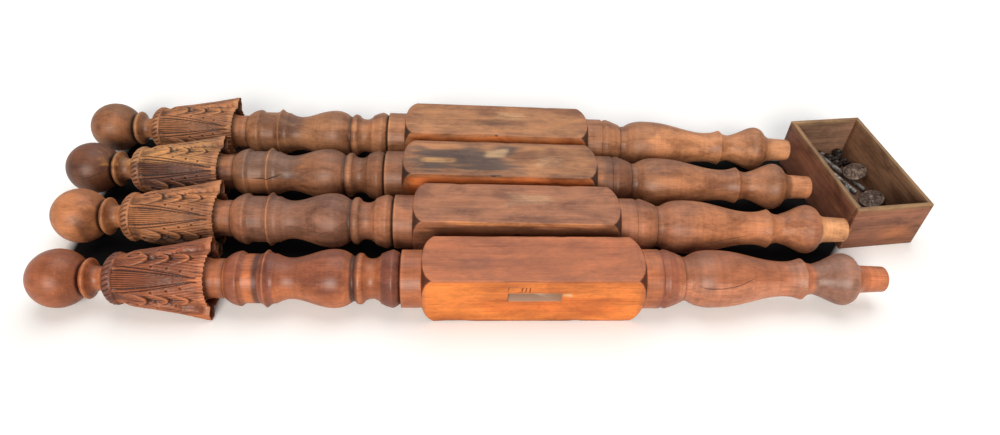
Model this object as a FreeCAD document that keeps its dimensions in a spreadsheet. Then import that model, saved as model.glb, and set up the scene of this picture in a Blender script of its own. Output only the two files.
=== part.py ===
import FreeCAD, Part
import math
import os

# A knocked-down carved bed: four turned and carved posts lie side by side on the floor,
# and an open box holds the bolts, nuts and bolt covers that join them to the rails.
# X runs along the posts towards their feet, Y runs away from the front post, Z is up.
# All lengths are millimetres and all angles are degrees.

doc = FreeCAD.newDocument("carved_bed")

SIZES = [
    # The stock that every post is cut from, and the square block left in it
    ("block_side", 102.0, "side of the square stock"),
    ("block_length", 332.5, "block between the corner ends of its shoulders"),
    ("upper_shoulder", 19.5, "rounded shoulder on the carved side of the block"),
    ("lower_shoulder", 24.5, "rounded shoulder on the leg side of the block"),
    # The upper turning, from the block towards the ball
    ("upper_collar", 34.5, "plain collar beside the block"),
    ("upper_collar_radius", 49.2, ""),
    ("quirk", 1.5, "narrow step between two turned members"),
    ("quirk_radius", 41.5, ""),
    ("big_ring_rise", 12.6, "collar side of the large sharp ring"),
    ("big_ring_fall", 20.0, "far side of the large sharp ring"),
    ("big_ring_radius", 49.3, ""),
    ("ring_root_radius", 41.0, "where the large ring runs into its cove"),
    ("upper_cove", 26.7, ""),
    ("upper_cove_radius", 34.0, ""),
    ("bead", 15.3, "half-round bead under the baluster"),
    ("bead_radius", 43.5, ""),
    ("bead_root_radius", 38.2, ""),
    ("groove", 4.0, "flat groove between bead and baluster"),
    ("baluster_shoulder", 35.7, "groove to the fattest place"),
    ("baluster_radius", 49.5, ""),
    ("baluster_neck", 68.7, "fattest place to the thinnest"),
    ("baluster_neck_radius", 34.9, ""),
    ("baluster_flare", 21.6, "thinnest place to the fillet"),
    ("fillet", 4.2, "flat fillet before the sharp ring"),
    ("fillet_radius", 42.0, ""),
    ("sharp_ring", 20.6, ""),
    ("sharp_ring_radius", 48.5, ""),
    ("band", 25.7, "straight band between the two rings"),
    ("band_radius", 41.7, ""),
    ("ogee_nose", 6.1, "steep side of the ogee ring"),
    ("ogee_tail", 24.3, "long side of the ogee ring"),
    ("ogee_radius", 46.5, ""),
    ("ogee_root_radius", 36.5, ""),
    ("neck", 12.0, "neck under the carved leaves"),
    ("neck_radius", 33.6, ""),
    ("leaf_hollow", 17.0, "depth of the hollow under the leaf tips"),
    ("leaf_hollow_radius", 40.0, ""),
    # The carved head and the ball
    ("leaf_length", 147.0, "carved leaves, from their ring to their tips"),
    ("leaf_root_radius", 41.5, ""),
    ("rim_radius", 49.0, "rim of the carved head between its two flared leaves"),
    ("leaf_root_reach", 50.0, "half width of a flared leaf at the ring"),
    ("leaf_tip_reach", 18.0, "half width of a flared leaf at its tip"),
    ("leaf_sink", 3.0, "how far a flared leaf starts below the head's surface"),
    ("leaf_ring", 24.0, "rounded ring that the leaves spring from"),
    ("leaf_ring_radius", 44.0, ""),
    ("waist", 17.0, "thin waist between ring and ball"),
    ("waist_radius", 20.8, ""),
    ("waist_edge_radius", 24.0, ""),
    ("ball_ring", 16.0, "bead under the ball"),
    ("ball_ring_radius", 34.3, ""),
    ("ball_radius", 49.0, ""),
    # The leg, from the block towards the foot
    ("lower_collar", 24.6, ""),
    ("lower_collar_radius", 50.7, ""),
    ("leg_ring_rise", 10.0, "collar side of the leg's top ring"),
    ("leg_ring_fall", 28.8, "far side of the leg's top ring"),
    ("leg_ring_radius", 50.9, ""),
    ("leg_quirk_radius", 47.5, ""),
    ("leg_fillet", 10.5, ""),
    ("leg_fillet_radius", 37.8, ""),
    ("vase_shoulder", 45.5, "fillet to the fattest place of the vase"),
    ("vase_radius", 49.6, ""),
    ("vase_taper", 124.4, "fattest place to the thinnest"),
    ("ankle_radius", 30.6, ""),
    ("ankle_flare", 31.2, "thinnest place to the ankle ring's edge"),
    ("ankle_ring_radius", 35.8, ""),
    ("ankle_cove", 23.0, "ring edge to the bottom of the cove"),
    ("ankle_cove_radius", 27.0, ""),
    ("bulb_rise", 55.0, "cove to the fattest place of the bulb"),
    ("bulb_radius", 45.2, ""),
    ("bulb_fall", 43.4, "fattest place to the foot peg"),
    ("peg", 28.5, "turned foot peg"),
    ("peg_radius", 24.1, ""),
    ("peg_end_radius", 22.5, ""),
    ("peg_round", 4.0, "rounding of the peg's end"),
    # Joinery cut into the block
    ("mortise_length", 89.0, ""),
    ("mortise_width", 21.0, ""),
    ("mortise_depth", 36.0, ""),
    ("mortise_inset", 40.4, "bare face to the middle of a mortise"),
    ("bolt_hole_radius", 5.5, ""),
    ("head_recess_radius", 12.0, ""),
    ("head_recess_depth", 13.0, ""),
    ("overrun", 2.0, "how far a cutting solid runs past a face"),
    # Where the posts lie
    ("post_2_gap", 32.3, "between the blocks of posts 1 and 2"),
    ("post_3_gap", 24.6, ""),
    ("post_4_gap", 23.5, ""),
    ("post_2_slip", -20.9, "each post lies a little further left"),
    ("post_3_slip", -25.5, ""),
    ("post_4_slip", -2.6, ""),
    ("post_2_turn", -1.10, "each post is turned a little about Z"),
    ("post_3_turn", -1.63, ""),
    ("post_4_turn", -2.11, ""),
    # The open box beside the feet
    ("box_length", 278.0, ""),
    ("box_width", 153.0, ""),
    ("box_height", 101.0, ""),
    ("board", 8.0, "thickness of the four upright boards"),
    ("bottom_board", 9.0, ""),
    ("box_gap", 9.0, "foot of post 2 to the box"),
    ("box_turn", 6.6, ""),
    ("nail_length", 28.0, ""),
    ("nail_radius", 1.1, ""),
    ("nail_head_radius", 2.4, ""),
    ("nail_head", 0.8, ""),
    ("nail_inset", 7.0, "board edge to the nearest nail"),
    # Bolts, nuts and bolt covers
    ("bolt_length", 118.0, "under the head"),
    ("bolt_radius", 4.75, ""),
    ("bolt_point", 1.2, "bevel at the end of the thread"),
    ("head_side", 16.0, ""),
    ("head_thickness", 9.0, ""),
    ("head_bevel_radius", 9.0, "where the bevel of the head's corners starts"),
    ("head_bevel_spread", 10.8, "how much wider its cone is at the shank"),
    ("nut_side", 16.0, ""),
    ("nut_thickness", 9.0, ""),
    ("thread_clearance", 0.25, ""),
    ("cover_radius", 23.5, ""),
    ("cover_rim", 3.2, "thickness at the edge"),
    ("cover_rise", 4.6, "height of the dome above the edge"),
    ("boss_radius", 7.0, ""),
    ("boss_rise", 1.6, ""),
    ("cover_hole_radius", 1.9, ""),
    ("cover_hole_inset", 4.4, ""),
    ("cover_lean", 25.0, "how far the leaning covers tip"),
    ("rest_gap", 0.3, "clearance between loose pieces"),
    # The middle of the whole set, worked out below
    ("mesh_tolerance", 0.05, "how closely the set is measured for its middle"),
    ("middle_x", 0.0, ""),
    ("middle_y", 0.0, ""),
]

sheet = doc.addObject("Spreadsheet::Sheet", "sizes")
for row, (alias, value, note) in enumerate(SIZES, start=1):
    sheet.set(f"A{row}", alias)
    sheet.set(f"B{row}", str(value))
    sheet.set(f"C{row}", note)
    sheet.setAlias(f"B{row}", alias)
doc.recompute()


def size(alias):
    """The value of one named size."""
    return float(sheet.get(alias))


def make(kind, name, **expressions):
    """A document object whose properties follow expressions on the sheet."""
    item = doc.addObject(kind, name)
    for prop, expression in expressions.items():
        item.setExpression(prop.replace("__", "."), expression)
    return item


def join(kind, name, base, tool):
    """A boolean of two objects."""
    item = doc.addObject(kind, name)
    item.Base = base
    item.Tool = tool
    return item


def turned_about(axis, degrees):
    """A rotation about an axis."""
    return FreeCAD.Rotation(axis, degrees)


ORIGIN = FreeCAD.Vector(0, 0, 0)
ALONG = FreeCAD.Vector(1, 0, 0)
ACROSS = FreeCAD.Vector(0, 1, 0)
UP = FreeCAD.Vector(0, 0, 1)


# The outline of a post, drawn in the XZ plane with the block's middle at zero

class Outline:
    """The edge of a turning, walked from one end to the other."""

    def __init__(self, place, radius):
        self.place = place
        self.radius = radius
        self.edges = []

    def point(self, step=0.0, radius=None):
        """A point ahead of the pen, at a radius."""
        return FreeCAD.Vector(self.place + step, 0, self.radius if radius is None else radius)

    def line(self, step, radius):
        """A straight run."""
        end = self.point(step, radius)
        self.edges.append(Part.LineSegment(self.point(), end).toShape())
        self.place, self.radius = end.x, end.z

    def arc(self, via_step, via_radius, step, radius):
        """An arc through a middle point."""
        end = self.point(step, radius)
        middle = self.point(via_step, via_radius)
        self.edges.append(Part.Arc(self.point(), middle, end).toShape())
        self.place, self.radius = end.x, end.z

    def curve(self, stations):
        """A smooth curve through stations, each a step and a radius."""
        points = [self.point()]
        points += [self.point(step, radius) for step, radius in stations]
        spline = Part.BSplineCurve()
        spline.interpolate(points)
        self.edges.append(spline.toShape())
        self.place, self.radius = points[-1].x, points[-1].z

    def face(self):
        """The closed face between the edge and the axis."""
        start = self.edges[0].Vertexes[0].Point
        axis_end = FreeCAD.Vector(self.place, 0, 0)
        closing = [Part.LineSegment(axis_end, start).toShape()]
        if self.radius > 0:
            closing.insert(0, Part.LineSegment(self.point(), axis_end).toShape())
        return Part.Face(Part.Wire(Part.__sortEdges__(self.edges + closing)))


# Outlines of the long curves, as shares of their length and of the swell between two radii
corner_overreach_share = 0.71
head_outline_shares = [(0.05, 0.10), (0.15, 0.60), (0.39, 1.05), (0.69, 1.10), (1.0, 1.0)]
leaf_outline_shares = [(0.05, 0.01), (0.15, 0.19), (0.39, 0.36), (0.69, 0.61), (0.89, 0.84), (1.0, 1.0)]
shoulder_bulge_shares = (0.30, 0.55)
ring_root_share = 0.35
swell_early_shares = (0.30, 0.62)
neck_middle_shares = (0.50, 0.46)
taper_shares = [(0.28, 0.86), (0.62, 0.36)]
flare_shares = (0.55, 0.25)
leaf_ring_bulge_shares = (0.35, 0.74)
leaf_ring_crest_share = 0.80
waist_low_share = 0.67
hollow_bulge_shares = (0.70, 0.45)
neck_curve_share = 0.70
neck_ease_share = 1.02
ogee_middle_shares = (0.60, 0.70)
cove_low_share = 0.45
ankle_cove_shares = (0.40, 0.25)
bulb_shares = [(0.28, 0.30), (0.68, 0.86)]
bulb_end_shares = [(0.42, 0.84), (0.50, 0.72), (0.86, 0.12)]


def between(low, high, share):
    """The value a share of the way from low to high."""
    return low + (high - low) * share


def draw_swell(pen, rim, shares, hollow, hollow_radius):
    """A swelling form out to its rim, and the hollow under the rim."""
    rise = rim - size("leaf_root_radius")
    pen.curve([(size("leaf_length") * along, size("leaf_root_radius") + rise * up) for along, up in shares])
    hollow_along, hollow_up = hollow_bulge_shares
    pen.arc(-hollow * hollow_along, between(hollow_radius, rim, hollow_up), -hollow, hollow_radius)


def draw_carved_head(pen):
    """Ball, bead, waist, leaf ring and the head between its flared leaves."""
    groove_step = math.sqrt(size("ball_radius") ** 2 - size("waist_edge_radius") ** 2)
    reach = size("ball_radius")
    pen.arc(reach, reach, reach + groove_step, size("waist_edge_radius"))
    pen.line(size("quirk"), size("waist_edge_radius"))
    pen.arc(size("ball_ring") / 2, size("ball_ring_radius"), size("ball_ring"), size("waist_edge_radius"))
    pen.arc(size("waist") * waist_low_share, size("waist_radius"), size("waist"), size("waist_edge_radius"))
    ring = size("leaf_ring")
    bulge_along, bulge_up = leaf_ring_bulge_shares
    pen.arc(ring * bulge_along, between(size("waist_edge_radius"), size("leaf_ring_radius"), bulge_up),
            ring * leaf_ring_crest_share, size("leaf_ring_radius"))
    pen.line(ring * (1 - leaf_ring_crest_share), size("leaf_root_radius"))
    draw_swell(pen, size("rim_radius"), head_outline_shares, size("leaf_hollow"), size("leaf_hollow_radius"))
    pen.arc(size("leaf_hollow") * neck_curve_share, size("neck_radius") * neck_ease_share,
            size("leaf_hollow") + size("neck"), size("neck_radius"))


def draw_upper_turning(pen, corner):
    """Rings, band, baluster, bead and collar, down to the block's shoulder."""
    ogee_along, ogee_up = ogee_middle_shares
    pen.curve([(size("neck"), size("ogee_root_radius")),
               (size("neck") + size("ogee_tail") * ogee_along,
                between(size("ogee_root_radius"), size("ogee_radius"), ogee_up)),
               (size("neck") + size("ogee_tail"), size("ogee_radius"))])
    pen.line(size("ogee_nose"), size("band_radius"))
    pen.line(size("band"), size("band_radius"))
    half = size("sharp_ring") / 2
    root = between(size("band_radius"), size("sharp_ring_radius"), ring_root_share)
    pen.arc(half / 2, root, half, size("sharp_ring_radius"))
    root = between(size("fillet_radius"), size("sharp_ring_radius"), ring_root_share)
    pen.arc(half / 2, root, half, size("fillet_radius"))
    pen.line(size("fillet"), size("fillet_radius"))
    thin = size("baluster_neck_radius")
    fat = size("baluster_radius")
    flare, long, short = size("baluster_flare"), size("baluster_neck"), size("baluster_shoulder")
    middle_along, middle_up = neck_middle_shares
    early_along, early_up = swell_early_shares
    pen.curve([(flare * flare_shares[0], between(thin, size("fillet_radius"), flare_shares[1])),
               (flare, thin),
               (flare + long * middle_along, between(thin, fat, middle_up)),
               (flare + long, fat),
               (flare + long + short * (1 - early_along), between(size("bead_root_radius"), fat, early_up)),
               (flare + long + short, size("bead_root_radius"))])
    pen.line(size("groove"), size("bead_root_radius"))
    pen.arc(size("bead") / 2, size("bead_radius"), size("bead"), size("bead_root_radius"))
    pen.arc(size("upper_cove") * cove_low_share, size("upper_cove_radius"), size("upper_cove"), size("ring_root_radius"))
    fall, rise = size("big_ring_fall"), size("big_ring_rise")
    root = between(size("ring_root_radius"), size("big_ring_radius"), ring_root_share)
    pen.arc(fall / 2, root, fall, size("big_ring_radius"))
    pen.arc(rise / 2, root, rise, size("quirk_radius"))
    pen.line(size("quirk"), size("quirk_radius"))
    pen.line(0, size("upper_collar_radius"))
    pen.line(size("upper_collar"), size("upper_collar_radius"))
    along, up = shoulder_bulge_shares
    pen.arc(size("upper_shoulder") * along, between(size("upper_collar_radius"), corner, up),
            size("upper_shoulder"), corner)


def draw_leg(pen, corner):
    """Shoulder, collar, ring, vase, ankle ring, bulb and foot peg."""
    along, up = shoulder_bulge_shares
    pen.arc(size("lower_shoulder") * (1 - along), between(size("lower_collar_radius"), corner, up),
            size("lower_shoulder"), size("lower_collar_radius"))
    pen.line(size("lower_collar"), size("lower_collar_radius"))
    pen.line(size("quirk"), size("leg_quirk_radius"))
    pen.line(size("leg_ring_rise") - size("quirk"), size("leg_ring_radius"))
    fall = size("leg_ring_fall")
    pen.arc(fall * cove_low_share, between(size("leg_fillet_radius"), size("leg_ring_radius"), ring_root_share),
            fall, size("leg_fillet_radius"))
    pen.line(size("leg_fillet"), size("leg_fillet_radius"))
    thin, fat = size("ankle_radius"), size("vase_radius")
    short, long = size("vase_shoulder"), size("vase_taper")
    early_along, early_up = swell_early_shares
    stations = [(short * early_along, between(size("leg_fillet_radius"), fat, early_up)), (short, fat)]
    stations += [(short + long * a, between(thin, fat, b)) for a, b in taper_shares]
    stations.append((short + long, thin))
    flare = size("ankle_flare")
    stations.append((short + long + flare * flare_shares[0],
                     between(thin, size("ankle_ring_radius"), flare_shares[1])))
    stations.append((short + long + flare, size("ankle_ring_radius")))
    pen.curve(stations)
    cove = size("ankle_cove")
    cove_along, cove_up = ankle_cove_shares
    pen.arc(cove * cove_along, between(size("ankle_cove_radius"), size("ankle_ring_radius"), cove_up),
            cove, size("ankle_cove_radius"))
    low, fat = size("ankle_cove_radius"), size("bulb_radius")
    rise, fall = size("bulb_rise"), size("bulb_fall")
    stations = [(rise * a, between(low, fat, b)) for a, b in bulb_shares]
    stations.append((rise, fat))
    edge_along, edge_up = bulb_end_shares[0]
    stations.append((rise + fall * edge_along, between(size("peg_radius"), fat, edge_up)))
    pen.curve(stations)
    lip_along, lip_up = bulb_end_shares[1]
    pen.line(fall * (lip_along - edge_along), between(size("peg_radius"), fat, lip_up))
    end_along, end_up = bulb_end_shares[2]
    pen.arc(fall * (end_along - lip_along), between(size("peg_radius"), fat, end_up),
            fall * (1 - lip_along), size("peg_radius"))
    turn = size("peg_round")
    pen.line(size("peg") - turn, size("peg_end_radius"))
    middle = 1 - math.sqrt(0.5)
    pen.arc(turn * (1 - middle), size("peg_end_radius") - turn * middle, turn, size("peg_end_radius") - turn)


upper_lengths = ["upper_shoulder", "upper_collar", "quirk", "big_ring_rise", "big_ring_fall", "upper_cove", "bead",
                 "groove", "baluster_shoulder", "baluster_neck", "baluster_flare", "fillet", "sharp_ring", "band",
                 "ogee_nose", "ogee_tail", "neck", "neck", "leaf_length", "leaf_ring", "waist", "ball_ring",
                 "quirk"]
lower_lengths = ["lower_shoulder", "lower_collar", "leg_ring_rise", "leg_ring_fall", "leg_fillet", "vase_shoulder",
                 "vase_taper", "ankle_flare", "ankle_cove", "bulb_rise", "bulb_fall", "peg"]
ball_seat = math.sqrt(size("ball_radius") ** 2 - size("waist_edge_radius") ** 2)
half_block = size("block_length") / 2
ball_end = -half_block - sum(size(name) for name in upper_lengths) - ball_seat - size("ball_radius")
foot_end = half_block + sum(size(name) for name in lower_lengths)
corner_radius = size("block_side") * corner_overreach_share

pen = Outline(ball_end, 0)
draw_carved_head(pen)
draw_upper_turning(pen, corner_radius)
pen.line(size("block_length"), corner_radius)
draw_leg(pen, corner_radius)
print("post runs from", round(ball_end, 1), "to", round(foot_end, 1), "and the outline ends at", round(pen.place, 1))

outline = doc.addObject("Part::Feature", "post_outline")
outline.Shape = pen.face()
turning = doc.addObject("Part::Revolution", "post_turning")
turning.Source = outline
turning.Axis = ALONG
turning.Base = ORIGIN
turning.Angle = 360

# The square stock that the turning is cut from leaves the block and squares off the leaf tips
stock = make("Part::Box", "post_stock", Width="sizes.block_side", Height="sizes.block_side",
             Placement__Base__y="-sizes.block_side / 2", Placement__Base__z="-sizes.block_side / 2")
stock.Length = foot_end - ball_end + 2 * size("overrun")
stock.Placement.Base.x = ball_end - size("overrun")
square_turning = join("Part::Common", "post_square_turning", turning, stock)

# Two flared leaves stand on opposite corners of the stock: a wider turning, kept only along one diagonal
leaf_start = ball_end + size("ball_radius") + ball_seat + sum(
    size(name) for name in ("quirk", "ball_ring", "waist", "leaf_ring"))
leaf_pen = Outline(leaf_start, 0)
leaf_pen.line(0, size("leaf_root_radius") - size("leaf_sink"))
draw_swell(leaf_pen, corner_radius, leaf_outline_shares, size("leaf_hollow") + size("overrun"),
           size("leaf_hollow_radius") - size("overrun"))
leaf_outline = doc.addObject("Part::Feature", "leaf_outline")
leaf_outline.Shape = leaf_pen.face()
leaf_turning = doc.addObject("Part::Revolution", "leaf_turning")
leaf_turning.Source = leaf_outline
leaf_turning.Axis = ALONG
leaf_turning.Base = ORIGIN
leaf_turning.Angle = 360
leaf_wedge = make("Part::Wedge", "leaf_wedge", Xmin="-sizes.leaf_root_reach", Xmax="sizes.leaf_root_reach",
                  X2min="-sizes.leaf_tip_reach", X2max="sizes.leaf_tip_reach",
                  Ymax="sizes.leaf_length", Zmin="-sizes.block_side", Zmax="sizes.block_side",
                  Z2min="-sizes.block_side", Z2max="sizes.block_side")
leaf_wedge.Ymin = 0
diagonal = ACROSS + UP
leaf_wedge.Placement = FreeCAD.Placement(FreeCAD.Vector(leaf_start, 0, 0),
                                         FreeCAD.Rotation(ALONG.cross(diagonal), ALONG, diagonal, "YZX"))
square_leaves = join("Part::Common", "square_leaves", leaf_turning, stock)
flared_leaves = join("Part::Common", "flared_leaves", square_leaves, leaf_wedge)
blank = join("Part::Fuse", "post_blank", square_turning, flared_leaves)


def cutters(hand, side):
    """The mortises and the bolt hole of one hand; side is -1 for a front mortise and 1 for a back one."""
    half = size("block_side") / 2
    level = half - size("mortise_inset")
    rail = make("Part::Box", f"rail_mortise_{hand}", Length="sizes.mortise_length",
                Width="sizes.mortise_depth + sizes.overrun", Height="sizes.mortise_width")
    inner = half - size("mortise_depth")
    rail_y = -half - size("overrun") if side < 0 else inner
    rail.Placement.Base = FreeCAD.Vector(-size("mortise_length") / 2, rail_y, level - size("mortise_width") / 2)
    end_rail = make("Part::Box", f"end_mortise_{hand}", Length="sizes.mortise_length",
                    Width="sizes.mortise_width", Height="sizes.mortise_depth + sizes.overrun")
    end_rail.Placement.Base = FreeCAD.Vector(-size("mortise_length") / 2,
                                             -side * level - size("mortise_width") / 2,
                                             -half - size("overrun"))
    hole = make("Part::Cylinder", f"bolt_hole_{hand}", Radius="sizes.bolt_hole_radius",
                Height="sizes.block_side - sizes.mortise_depth + 2 * sizes.overrun")
    recess = make("Part::Cylinder", f"head_recess_{hand}", Radius="sizes.head_recess_radius",
                  Height="sizes.head_recess_depth + sizes.overrun")
    inward = turned_about(ALONG, 90 if side < 0 else -90)
    mouth = FreeCAD.Vector(0, -side * (half + size("overrun")), level)
    hole.Placement = FreeCAD.Placement(mouth, inward)
    recess.Placement = FreeCAD.Placement(mouth, inward)
    group = doc.addObject("Part::MultiFuse", f"joinery_{hand}")
    group.Shapes = [rail, end_rail, hole, recess]
    return group


front_joinery = cutters("front", -1)
back_joinery = cutters("back", 1)

nodes = []
places = {}


def node(item, name, placement):
    """Give a sub-part its name and its place before the set is centred."""
    item.Label = name
    places[name] = placement
    nodes.append(item)
    return item


# The four posts: each block's bottom face lies on the floor
level = size("block_side") / 2
posts = [("bed_post_1", front_joinery, None), ("bed_post_2", back_joinery, "post_2"),
         ("bed_post_3", back_joinery, "post_3"), ("bed_post_4", front_joinery, "post_4")]
spot = FreeCAD.Vector(0, 0, level)
feet = {}
for name, joinery, key in posts:
    turn = 0.0
    if key:
        spot = spot + FreeCAD.Vector(size(key + "_slip"), size("block_side") + size(key + "_gap"), 0)
        turn = size(key + "_turn")
    placement = FreeCAD.Placement(spot, turned_about(UP, turn))
    feet[name] = placement.multVec(FreeCAD.Vector(foot_end, 0, 0))
    node(join("Part::Cut", name, blank, joinery), name, placement)

# The box stands just past the feet, turned a little
box_corner = FreeCAD.Vector(feet["bed_post_2"].x + size("box_gap"), feet["bed_post_2"].y, 0)
box_place = FreeCAD.Placement(box_corner, turned_about(UP, size("box_turn")))


def in_box(across, along, height, rotation=None):
    """A place inside the box, measured from its near left bottom corner."""
    local = FreeCAD.Placement(FreeCAD.Vector(across, along, height), rotation or FreeCAD.Rotation())
    return box_place.multiply(local)


board, bottom = size("board"), size("bottom_board")
inside_width = size("box_width") - 2 * board
inside_length = size("box_length") - 2 * board
near = make("Part::Box", "box_near_board", Length="sizes.box_width", Width="sizes.board", Height="sizes.box_height")
node(near, "box_near_board", in_box(0, 0, 0))
far = make("Part::Box", "box_far_board", Length="sizes.box_width", Width="sizes.board", Height="sizes.box_height")
node(far, "box_far_board", in_box(0, board + inside_length, 0))
left = make("Part::Box", "box_left_board", Length="sizes.board", Width="sizes.box_length - 2 * sizes.board",
            Height="sizes.box_height")
node(left, "box_left_board", in_box(0, board, 0))
right = make("Part::Box", "box_right_board", Length="sizes.board", Width="sizes.box_length - 2 * sizes.board",
             Height="sizes.box_height")
node(right, "box_right_board", in_box(board + inside_width, board, 0))
floor = make("Part::Box", "box_bottom_board", Length="sizes.box_width - 2 * sizes.board",
             Width="sizes.box_length - 2 * sizes.board", Height="sizes.bottom_board")
node(floor, "box_bottom_board", in_box(board, board, 0))


def nail(across, along, height, direction):
    """One cut nail, its head outside and its shank driven along a direction."""
    place = FreeCAD.Vector(across, along, height)
    shank = Part.makeCylinder(size("nail_radius"), size("nail_length"), place, direction)
    head = Part.makeCylinder(size("nail_head_radius"), size("nail_head"), place - direction * size("nail_head"),
                             direction)
    return shank.fuse(head).removeSplitter()


# Three nails hold each corner and three more hold the bottom on each side
nail_rows = 3
corner_nails = []
step = (size("box_height") - 2 * size("nail_inset")) / (nail_rows - 1)
for across in (board / 2, size("box_width") - board / 2):
    for count in range(nail_rows):
        height = size("nail_inset") + step * count
        corner_nails.append(nail(across, 0, height, ACROSS))
        corner_nails.append(nail(across, size("box_length"), height, -ACROSS))
span = inside_length / nail_rows
for count in range(nail_rows):
    along = board + span * (count + 0.5)
    corner_nails.append(nail(0, along, bottom / 2, ALONG))
    corner_nails.append(nail(size("box_width"), along, bottom / 2, -ALONG))
nails = doc.addObject("Part::Feature", "box_nails")
nails.Shape = Part.makeCompound(corner_nails)
node(nails, "box_nails", in_box(0, 0, 0))


# Bolts: a square head, a round shank and a bevelled end, with the axis along Y from the head
def make_bolt(name):
    """One bed bolt, drawn with its head at the origin and its shank along +Y."""
    shank = make("Part::Cylinder", name + "_shank", Radius="sizes.bolt_radius",
                 Height="sizes.bolt_length + sizes.head_thickness / 2 - sizes.bolt_point")
    shank.Placement = FreeCAD.Placement(FreeCAD.Vector(0, size("head_thickness") / 2, 0), turned_about(ALONG, -90))
    point = make("Part::Cone", name + "_point", Radius1="sizes.bolt_radius",
                 Radius2="sizes.bolt_radius - sizes.bolt_point", Height="sizes.bolt_point")
    point_start = size("head_thickness") + size("bolt_length") - size("bolt_point")
    point.Placement = FreeCAD.Placement(FreeCAD.Vector(0, point_start, 0), turned_about(ALONG, -90))
    block = make("Part::Box", name + "_head_block", Length="sizes.head_side", Width="sizes.head_thickness",
                 Height="sizes.head_side")
    block.Placement.Base = FreeCAD.Vector(-size("head_side") / 2, 0, -size("head_side") / 2)
    bevel = make("Part::Cone", name + "_head_bevel", Radius1="sizes.head_bevel_radius", Height="sizes.head_thickness",
                 Radius2="sizes.head_bevel_radius + sizes.head_bevel_spread")
    bevel.Placement = FreeCAD.Placement(ORIGIN, turned_about(ALONG, -90))
    head = join("Part::Common", name + "_head", block, bevel)
    bolt = doc.addObject("Part::MultiFuse", name)
    bolt.Shapes = [head, shank, point]
    return bolt


gap = size("rest_gap")
half_head = size("head_side") / 2
bolt_reach = size("bolt_length") + size("head_thickness")
sag = math.degrees(math.asin((half_head - size("bolt_radius")) / size("bolt_length")))
rest_height = bottom + half_head + gap
pitch = half_head + size("bolt_radius") + 2 * gap


def lay_bolt(name, across, along, heading, rise):
    """Put a bolt's head at a place; heading turns it about Z and rise lifts its point."""
    rotation = turned_about(UP, heading).multiply(turned_about(ALONG, rise))
    node(make_bolt(name), name, in_box(across, along, rest_height + gap, rotation))


def bolt_axis(across, along, heading, rise):
    """The line from a lying bolt's head to its point."""
    start = FreeCAD.Vector(across, along, rest_height + gap)
    rotation = turned_about(UP, heading).multiply(turned_about(ALONG, rise))
    return Part.makeLine(start, start + rotation.multVec(ACROSS) * bolt_reach)


def resting_rise(across, along, heading, carriers):
    """The least rise at which a bolt lies on the bolts below it, with the usual clearance."""
    low, high = 0.0, sag * steepest_rise_share
    for attempt in range(rise_attempts):
        middle = (low + high) / 2
        axis = bolt_axis(across, along, heading, middle)
        nearest = min(axis.distToShape(carrier)[0] for carrier in carriers)
        if nearest < 2 * size("bolt_radius") + gap:
            low = middle
        else:
            high = middle
    return high


# Four bolts lie along the left board with their heads at alternate ends
row_count = 4
row_start_share = 0.36
first_across = board + half_head + 2 * gap
near_end = size("box_length") * row_start_share
for index in range(row_count):
    across = first_across + pitch * index
    if index % 2:
        lay_bolt(f"bed_bolt_{index + 1}", across, near_end, 0, -sag)
    else:
        lay_bolt(f"bed_bolt_{index + 1}", across, near_end + bolt_reach, 180, -sag)

# Three more lie on the bottom, each with its head's place as shares of the inside and a heading
slanted_bolt_shares = [(5, 0.555, 0.969, 201.0), (6, 0.423, 0.954, 199.0), (7, 0.572, 0.021, 0.0)]
slanted_heads = {}
slanted_axes = {}
for number, across_share, along_share, heading in slanted_bolt_shares:
    across = board + inside_width * across_share
    along = board + inside_length * along_share
    slanted_heads[number] = along
    slanted_axes[number] = bolt_axis(across, along, heading, -sag)
    lay_bolt(f"bed_bolt_{number}", across, along, heading, -sag)

# The last one has its head on the bottom and lies across bolt 7's point, clear of bolt 6
top_across_share = 0.3036
top_back_share = 0.5077
top_heading = -18.0
steepest_rise_share = 6
rise_attempts = 24
top_across = board + inside_width * top_across_share
top_along = near_end - bolt_reach * top_back_share
top_rise = resting_rise(top_across, top_along, top_heading, [slanted_axes[6], slanted_axes[7]])
lay_bolt("bed_bolt_8", top_across, top_along, top_heading, top_rise)
print("bolt 8 rises", top_rise)


# Square nuts: a small heap at the far end and a few strays
def make_nut(name):
    """One square nut, centred on its bore with its underside on Z zero."""
    block = make("Part::Box", name + "_block", Length="sizes.nut_side", Width="sizes.nut_side",
                 Height="sizes.nut_thickness", Placement__Base__x="-sizes.nut_side / 2",
                 Placement__Base__y="-sizes.nut_side / 2")
    bore = make("Part::Cylinder", name + "_bore", Radius="sizes.bolt_radius + sizes.thread_clearance",
                Height="sizes.nut_thickness + 2 * sizes.overrun", Placement__Base__z="-sizes.overrun")
    return join("Part::Cut", name, block, bore)


# Each nut's share of the inside width, its place along the box, its turn about Z and its layer.
# The heap is counted in nut sides from the far board; two nuts share the room past the row of bolts.
far_board = board + inside_length
row_room = far_board - near_end - bolt_reach
heap_side_shares = (1.130, 0.901, 2.440, 2.194)
heap_places = [far_board - size("nut_side") * share for share in heap_side_shares]
stray_side_share = 0.901
room_shares = (0.573, 0.542)
nut_width_shares = (0.730, 0.872, 0.770, 0.920, 0.872, 0.095, 0.250, 0.095)
nut_places = [*heap_places, heap_places[1], far_board - row_room * (1 - room_shares[0]),
              far_board - row_room * (1 - room_shares[1]), board + size("nut_side") * stray_side_share]
nut_turns = (10.0, -12.0, 20.0, 15.0, 24.0, 8.0, 24.0, 20.0)
nut_layers = (0, 0, 0, 0, 1, 0, 0, 0)
for index, across_share in enumerate(nut_width_shares):
    name = f"square_nut_{index + 1}"
    height = bottom + gap + nut_layers[index] * (size("nut_thickness") + gap)
    node(make_nut(name), name, in_box(board + inside_width * across_share, nut_places[index], height,
                                      turned_about(UP, nut_turns[index])))


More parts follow.
